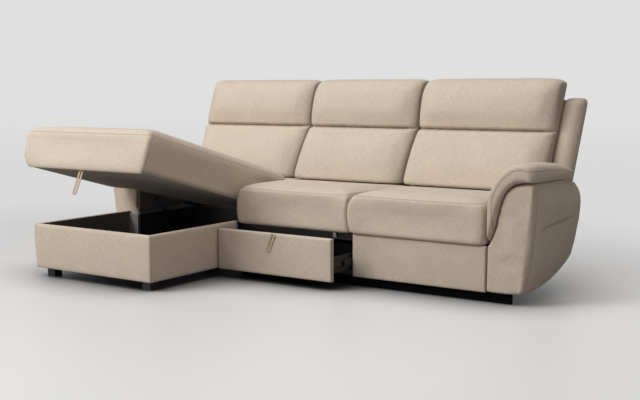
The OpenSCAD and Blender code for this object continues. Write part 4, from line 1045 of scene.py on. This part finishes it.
COVER_HALF, COVER_THICK = 1078.6, 8  # half the width of a rear panel, and its thickness


def rear_cover(name, z0, z1, rear):
    """A stretched rear panel, stapled round its edges, that dips a little between the posts."""
    across = np.linspace(-COVER_HALF, COVER_HALF, 109)
    dip = 2.4 * np.abs(np.sin(across / 345 * math.pi / 2 + math.pi / 2)) ** 1.5
    # Inset from the upper and lower edge, and thickness there
    profile = [(2.5, 0), (0.6, 1.2), (0, 3.5), (0, COVER_THICK - 3), (0.8, COVER_THICK - 0.8),
               (4, COVER_THICK + 0.2), (14, COVER_THICK), (40, COVER_THICK)]
    rows = [(z0 + inset, t, inset) for inset, t in profile]
    rows += [(z0 + 40 + (z1 - z0 - 80) * k, COVER_THICK, 60) for k in np.linspace(0, 1, 22)[1:-1]]
    rows += [(z1 - inset, t, inset) for inset, t in profile[::-1]]
    rings = []
    for x, d in zip(across, dip):
        end = min(1, (COVER_HALF - abs(x)) / 12)
        ring = [(x, rear(z) + min(t, 2 + 6 * end) - d * smooth(inset, 10, 60), z) for z, t, inset in rows]
        ring += [(x, rear(z), z) for z in np.linspace(z1 - 3, z0 + 3, len(rows))]
        rings.append(np.array(ring))
    made = closed_form(name, rings, ladder=True)
    lay_cloth(made)
    made.data.materials.clear()
    made.data.materials.append(backing)
    move_to(made, placed(corners(made) / MM))
    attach(made, "base")
    return made


lower_cover = rear_cover("back_cover_lower_cloth", 70, 446.6, lambda z: 697)
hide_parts("back_cover_lower")
upper_cover = rear_cover("back_cover_upper_cloth", 447, 884, lambda z: lean(z) + 97)
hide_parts("back_cover_upper")

# The ledge behind the raised seat: foam over a board, beige on top, black lining on its front
ledge_plan = [(-1034.6, 470), (-345.4, 470), (-345.4, 599.6), (-1034.6, 599.6)]
ledge_profile = [(251, 5), (253, 1), (258, 0), (330, 0), (400, 0), (424, 0.5), (432, 2), (438, 6),
                 (441, 12), (443, 24), (444.5, 44), (445, 58)]
ledge_rings = [corner_ring(ledge_plan, [6] * 4, d, 0, z, arc=5, side=30) for z, d in ledge_profile]
ledge = closed_form("chaise_rear_ledge_cloth", ledge_rings)
lay_cloth(ledge)
ledge.data.materials.append(lining_cloth)
for face in ledge.data.polygons:
    if face.normal.y < -0.5:
        face.material_index = 1
move_to(ledge, placed(corners(ledge) / MM))
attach(ledge, "base")
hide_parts("chaise_rear_ledge")

# LIFT-UP SEAT
# The chaise's seat is one thick cushion on a plywood board, raised about its hinges behind. Its
# border is sewn to the top all round, and taupe lining closes it below.

# The hinge pins' axis, and the angle by which the seat stands raised
HINGE_Y, HINGE_Z, RAISED = 430, 420, math.radians(15)


def raised(p):
    """Turns points from the closed seat to the raised one."""
    y, z = p[:, 1] - HINGE_Y, p[:, 2] - HINGE_Z
    c, s = math.cos(-RAISED), math.sin(-RAISED)
    return np.column_stack([p[:, 0], HINGE_Y + y * c - z * s, HINGE_Z + y * s + z * c])


LID_LEFT, LID_RIGHT, LID_FRONT, LID_REAR = -1177, -353, -668, 405
LID_FOOT, LID_BORDER = 268, 181  # height of the lower edge with the seat closed, and of the border
lid_plan = [(LID_LEFT, LID_FRONT), (LID_RIGHT, LID_FRONT), (LID_RIGHT, LID_REAR), (-1030, LID_REAR),
            (-1030, -26), (LID_LEFT, -26)]
lid_radii = [28, 16, 16, 16, 16, 30]
# The cover is drawn round the board's edge and 40 mm under it
lid_recess = np.array([40, 40, 40, 40, 66, 40])
lid_rings = [corner_ring(lid_plan, lid_radii, lid_recess, 0, z) for z in (288, 282, 276, 270)]
lid_rings.append(corner_ring(lid_plan, lid_radii, lid_recess - 6, 0, 267.8))
# Share of the border's height, and how far the front, the side along the middle seat and the outer
# side stand in. The front leans over the box, and the outer side is a bullnose that swells past it.
lid_border = [(0, 4, 16, 44), (0.02, -5, 10, 33), (0.05, -10, 8, 24), (0.1, -14, 7, 14),
              (0.18, -16, 6.5, 3), (0.3, -15, 6, -8), (0.45, -11, 6, -17), (0.6, -6, 7, -25),
              (0.75, 0, 9, -32), (0.86, 4, 12, -37), (0.93, 8, 16, -39), (0.975, 11, 19, -38),
              (1, 14, 23, -34)]
for share, front, right, outer in lid_border:
    # At the top the cushion runs back over the hinges
    rear = right - 52 * smooth(share, 0.88, 1)
    insets = [front, right, rear, right, right + 26 * share, outer]
    lid_rings.append(corner_ring(lid_plan, lid_radii, insets, 0, LID_FOOT + share * LID_BORDER))
# The crown: inset beyond the border's, rise over it, and the outer side's own inset
for inset, rise, outer in [(6, 9, -28), (13, 17, -18), (26, 26, 2), (46, 32, 28), (84, 35.5, 70),
                           (134, 36.5, 122)]:
    insets = [14 + inset, 23 + inset, inset - 38, 23 + inset, 49 + inset, outer]
    lid_rings.append(corner_ring(lid_plan, lid_radii, insets, 0, LID_FOOT + LID_BORDER + rise))
lid = closed_form("lid_cushion_cloth", lid_rings)


def lid_free(p):
    """How freely each point of the lid's cover moves: its top, its front and its two long sides."""
    x, y, z = p.T
    left_edge = np.where(y < -26, LID_LEFT, -1030)
    inner = np.minimum(x - left_edge, LID_RIGHT - x)
    border = np.sin(np.pi * np.clip((z - 272) / 180, 0, 1))
    top = smooth(z, 449, 462) * smooth(inner, 10, 110) * smooth(y, -640, -540) * (1 - smooth(y, 300, 400))
    face = (1 - smooth(y, -650, -620)) * border * smooth(inner, 5, 70)
    flank = smooth(np.maximum(x + 365, -1160 - x), 0, 8) * border * smooth(y, -640, -560) \
        * (1 - smooth(y, -120, -20))
    return np.clip(0.5 * top + 0.55 * face + 0.22 * flank, 0, 1)


filled(lid, 12, 24, lid_free)


def lid_seams(q):
    """Distance from the seam round the top and from the one down the inner front corner."""
    x, y, z = q.T
    ahead = y + 684 - 30 * (z - 270) / 184
    corner = np.where((x > -400) & (ahead < 48), (x - LID_RIGHT) + ahead - 6, 30)
    return nearest_seam(z - 447, corner)


lid_points = corners(lid) / MM
lid_points[:, 2] -= 1.6 * np.exp(-(lid_seams(lid_points) / 5) ** 2) * (lid_points[:, 2] > 430)
# Behind, the top runs out to the middle seat
lid_points[:, 0] += 20 * smooth(lid_points[:, 1], 40, 330) * smooth(lid_points[:, 2], 380, 445) \
    * smooth(lid_points[:, 0], -470, -385)
# The front border hangs a little over the rim
lid_points[:, 2] -= 10 * smooth(-lid_points[:, 1], 656, 670) * (1 - smooth(lid_points[:, 2], 268, 340))
move_to(lid, lid_points * MM)
lay_cloth(lid, lid_seams)
move_to(lid, placed(raised(lid_points)))
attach(lid, "lid")
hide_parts("lid_cushion")

lid_pull = pull_tape("lid_pull_tape", 130, 0.2, lambda p: placed(raised(p + [-770, -656.5, 270])))
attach(lid_pull, "lid")
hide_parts("lid_pull_loop")

# SCREWS, STAPLES AND STITCHES
# Zinc-plated pan-head screws hold the hinges and the struts' brackets to the boards. Wire staples hold
# the lid's lining, and a line of lock stitches draws in each channel of the back and each arm's dart.


def node_group(name, inputs):
    """A Geometry Nodes tree that takes a geometry and the named inputs, each with its kind."""
    group = bpy.data.node_groups.new(name, "GeometryNodeTree")
    group.interface.new_socket("Geometry", in_out="OUTPUT", socket_type="NodeSocketGeometry")
    group.interface.new_socket("Geometry", in_out="INPUT", socket_type="NodeSocketGeometry")
    for label, kind in inputs:
        group.interface.new_socket(label, in_out="INPUT", socket_type="NodeSocket" + kind)
    return group, group.nodes.new("NodeGroupInput").outputs


def laid_out(name, points, edges, facing, group, values):
    """Runs a Geometry Nodes tree on points in mm with their facing, and keeps a plain mesh."""
    mesh = bpy.data.meshes.new(name)
    mesh.from_pydata((np.array(points, float) * MM).tolist(), edges, [])
    mark = mesh.attributes.new("facing", "FLOAT_VECTOR", "POINT")
    mark.data.foreach_set("vector", np.array(facing, float).ravel())
    piece = bpy.data.objects.new(name, mesh)
    scene.collection.objects.link(piece)
    nodes_run = piece.modifiers.new("nodes", "NODES")
    nodes_run.node_group = group
    for item in group.interface.items_tree:
        if item.in_out == "INPUT" and item.name in values:
            nodes_run[item.identifier] = values[item.name]
    applied(piece)
    return piece


def made_real(tree, instances, finish):
    """Ends a tree: its instances turn into one plain mesh of one material."""
    real = add(tree, "GeometryNodeRealizeInstances", {0: instances})
    done = add(tree, "GeometryNodeSetMaterial", {"Geometry": real.outputs[0], "Material": finish})
    add(tree, "NodeGroupOutput", {"Geometry": done.outputs[0]})


# A screw head: a low cone with a hexagon socket cut in its top, turned by a fixed random angle
screws, given = node_group("pan_head_screws", [("Head Diameter", "Float"), ("Head Height", "Float"),
                                               ("Seed", "Int"), ("Finish", "Material")])
wide = add(screws, "ShaderNodeMath", {0: given["Head Diameter"], 1: 0.5}, operation="MULTIPLY")
crown = add(screws, "ShaderNodeMath", {0: given["Head Diameter"], 1: 0.33}, operation="MULTIPLY")
key = add(screws, "ShaderNodeMath", {0: given["Head Diameter"], 1: 0.2}, operation="MULTIPLY")
head = add(screws, "GeometryNodeMeshCone", {"Vertices": 14, "Side Segments": 2,
                                            "Radius Top": crown.outputs[0],
                                            "Radius Bottom": wide.outputs[0],
                                            "Depth": given["Head Height"]})
prism = add(screws, "GeometryNodeMeshCylinder", {"Vertices": 6, "Radius": key.outputs[0],
                                                 "Depth": given["Head Height"]})
lift = add(screws, "ShaderNodeCombineXYZ", {"Z": given["Head Height"]})
prism = add(screws, "GeometryNodeTransform", {"Geometry": prism.outputs["Mesh"],
                                              "Translation": lift.outputs[0]})
head = add(screws, "GeometryNodeMeshBoolean", {"Mesh 1": head.outputs["Mesh"], "Mesh 2": prism.outputs[0]},
           operation="DIFFERENCE")
way = add(screws, "GeometryNodeInputNamedAttribute", {"Name": "facing"}, data_type="FLOAT_VECTOR")
upright = add(screws, "FunctionNodeAlignRotationToVector", {"Vector": way.outputs["Attribute"]}, axis="Z")
spin = add(screws, "FunctionNodeRandomValue", {0: (0, 0, 0), 1: (0, 0, 6.28), "Seed": given["Seed"]},
           data_type="FLOAT_VECTOR")
spin = add(screws, "FunctionNodeEulerToRotation", {"Euler": spin.outputs[0]})
turned = add(screws, "FunctionNodeRotateRotation", {"Rotation": upright.outputs[0],
                                                    "Rotate By": spin.outputs[0]}, rotation_space="LOCAL")
spread = add(screws, "GeometryNodeInstanceOnPoints", {"Points": given["Geometry"],
                                                      "Instance": head.outputs["Mesh"],
                                                      "Rotation": turned.outputs[0]})
made_real(screws, spread.outputs[0], given["Finish"])

screw_size = {"Head Diameter": 0.009, "Head Height": 0.0028, "Seed": 4, "Finish": zinc}
hinge_screws = [(x + dx, 338, z) for x in (-945, -435) for dx, z in ((-9, 301), (-9, 418), (11.5, 360))]
base_screws = laid_out("hinge_screws_base", hinge_screws, [], [(0, -1, 0)] * 6, screws, screw_size)
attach(base_screws, "base")
down = (0, -math.sin(RAISED), -math.cos(RAISED))
lid_screw_points = [(x, 131.7 + 96.6 * t, 306.2 - 25.9 * t)
                    for x in (-918.5, -408.5) for t in (0.18, 0.5, 0.82)]
lid_screw_points += [(x, -54.7 + 34.8 * t, 356.1 - 9.3 * t) for x in (-980, -403) for t in (0.24, 0.76)]
lid_screws = laid_out("hinge_screws_lid", lid_screw_points, [], [down] * 10, screws, screw_size)
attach(lid_screws, "lid")

# A row: short flattened rods laid end to end along a line at an even pitch
row, given = node_group("rods_along_a_line", [("Pitch", "Float"), ("Length", "Float"), ("Width", "Float"),
                                              ("Flatness", "Float"), ("Finish", "Material")])
path = add(row, "GeometryNodeMeshToCurve", {"Mesh": given["Geometry"]})
path = add(row, "GeometryNodeResampleCurve", {"Curve": path.outputs[0], "Length": given["Pitch"]},
           mode="LENGTH")
thin = add(row, "ShaderNodeMath", {0: given["Width"], 1: 0.5}, operation="MULTIPLY")
rod = add(row, "GeometryNodeMeshCylinder", {"Vertices": 8, "Side Segments": 3, "Radius": thin.outputs[0],
                                            "Depth": given["Length"]})
flat_size = add(row, "ShaderNodeCombineXYZ", {"X": given["Flatness"], "Y": 1.0, "Z": 1.0})
rod = add(row, "GeometryNodeTransform", {"Geometry": rod.outputs["Mesh"], "Scale": flat_size.outputs[0]})
ahead = add(row, "GeometryNodeInputTangent")
way = add(row, "GeometryNodeInputNamedAttribute", {"Name": "facing"}, data_type="FLOAT_VECTOR")
laid = add(row, "FunctionNodeAxesToRotation", {"Primary Axis": ahead.outputs[0],
                                               "Secondary Axis": way.outputs["Attribute"]},
           primary_axis="Z", secondary_axis="X")
spread = add(row, "GeometryNodeInstanceOnPoints", {"Points": path.outputs[0], "Instance": rod.outputs[0],
                                                   "Rotation": laid.outputs[0]})
made_real(row, spread.outputs[0], given["Finish"])

staple_line = np.array([(-1123, -86, 268.3), (-1123, -614, 268.3), (-407, -614, 268.3), (-407, -86, 268.3)])
staples = laid_out("lid_lining_staples", placed(raised(staple_line)) / MM, [(0, 1), (1, 2), (2, 3)],
                   [down] * 4, row,
                   {"Pitch": 0.045, "Length": 0.012, "Width": 0.0014, "Flatness": 0.7, "Finish": zinc})
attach(staples, "lid")

# Beige polyester thread, a shade darker than the cloth, with a twist drawn at 1.5 mm
thread = patterned("beige_polyester_thread", 0.6, "Wave", {"Scale": 200.0}, ("#8f7d69", "#a8967f"),
                   bands="DIAGONAL")


def stitch_line(name, piece, near, along, facing):
    """Stitches over the points of a finished piece that lie near a line, in order along an axis."""
    p = corners(piece) / MM
    p = p[near(p)]
    steps = np.arange(p[:, along].min() + 14, p[:, along].max() - 14, 12.0)
    p = p[np.argsort(p[:, along])]
    line = np.column_stack([np.interp(steps, p[:, along], p[:, k]) for k in range(3)])
    # Over a short run the points scatter about the seam, so the line is smoothed
    for _ in range(3):
        line[1:-1] = (line[:-2] + 2 * line[1:-1] + line[2:]) / 4
    line += np.array(facing) * 0.5
    made = laid_out(name, line, [(i, i + 1) for i in range(len(line) - 1)], [facing] * len(line), row,
                    {"Pitch": 0.0055, "Length": 0.0042, "Width": 0.0011, "Flatness": 0.6, "Finish": thread})
    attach(made, "base")


def in_channel(p):
    """Points of a back cushion that lie in its channel, on its face."""
    return (np.abs(p[:, 2] - CHANNEL_Z) < 3) & (p[:, 1] < lean(CHANNEL_Z) - PANELS_Y - 20)


def on_dart(p):
    """Points of an arm that lie on its dart."""
    y = p[:, 1] + PANELS_Y
    near = np.abs(p[:, 2] - np.interp(y, DART_Y, DART_Z)) < 4
    return near & (np.abs(p[:, 0]) > 1180) & (y > 75) & (y < 460)


for name in ("back_cushion_left", "back_cushion_middle", "back_cushion_right"):
    stitch_line(name + "_stitches", bpy.data.objects[name + "_cloth"], in_channel, 0, (0, -0.9, 0.44))
for name, hand in (("arm_body_left", -1), ("arm_body_right", 1)):
    stitch_line(name + "_stitches", bpy.data.objects[name + "_cloth"], on_dart, 1, (hand, 0, 0))
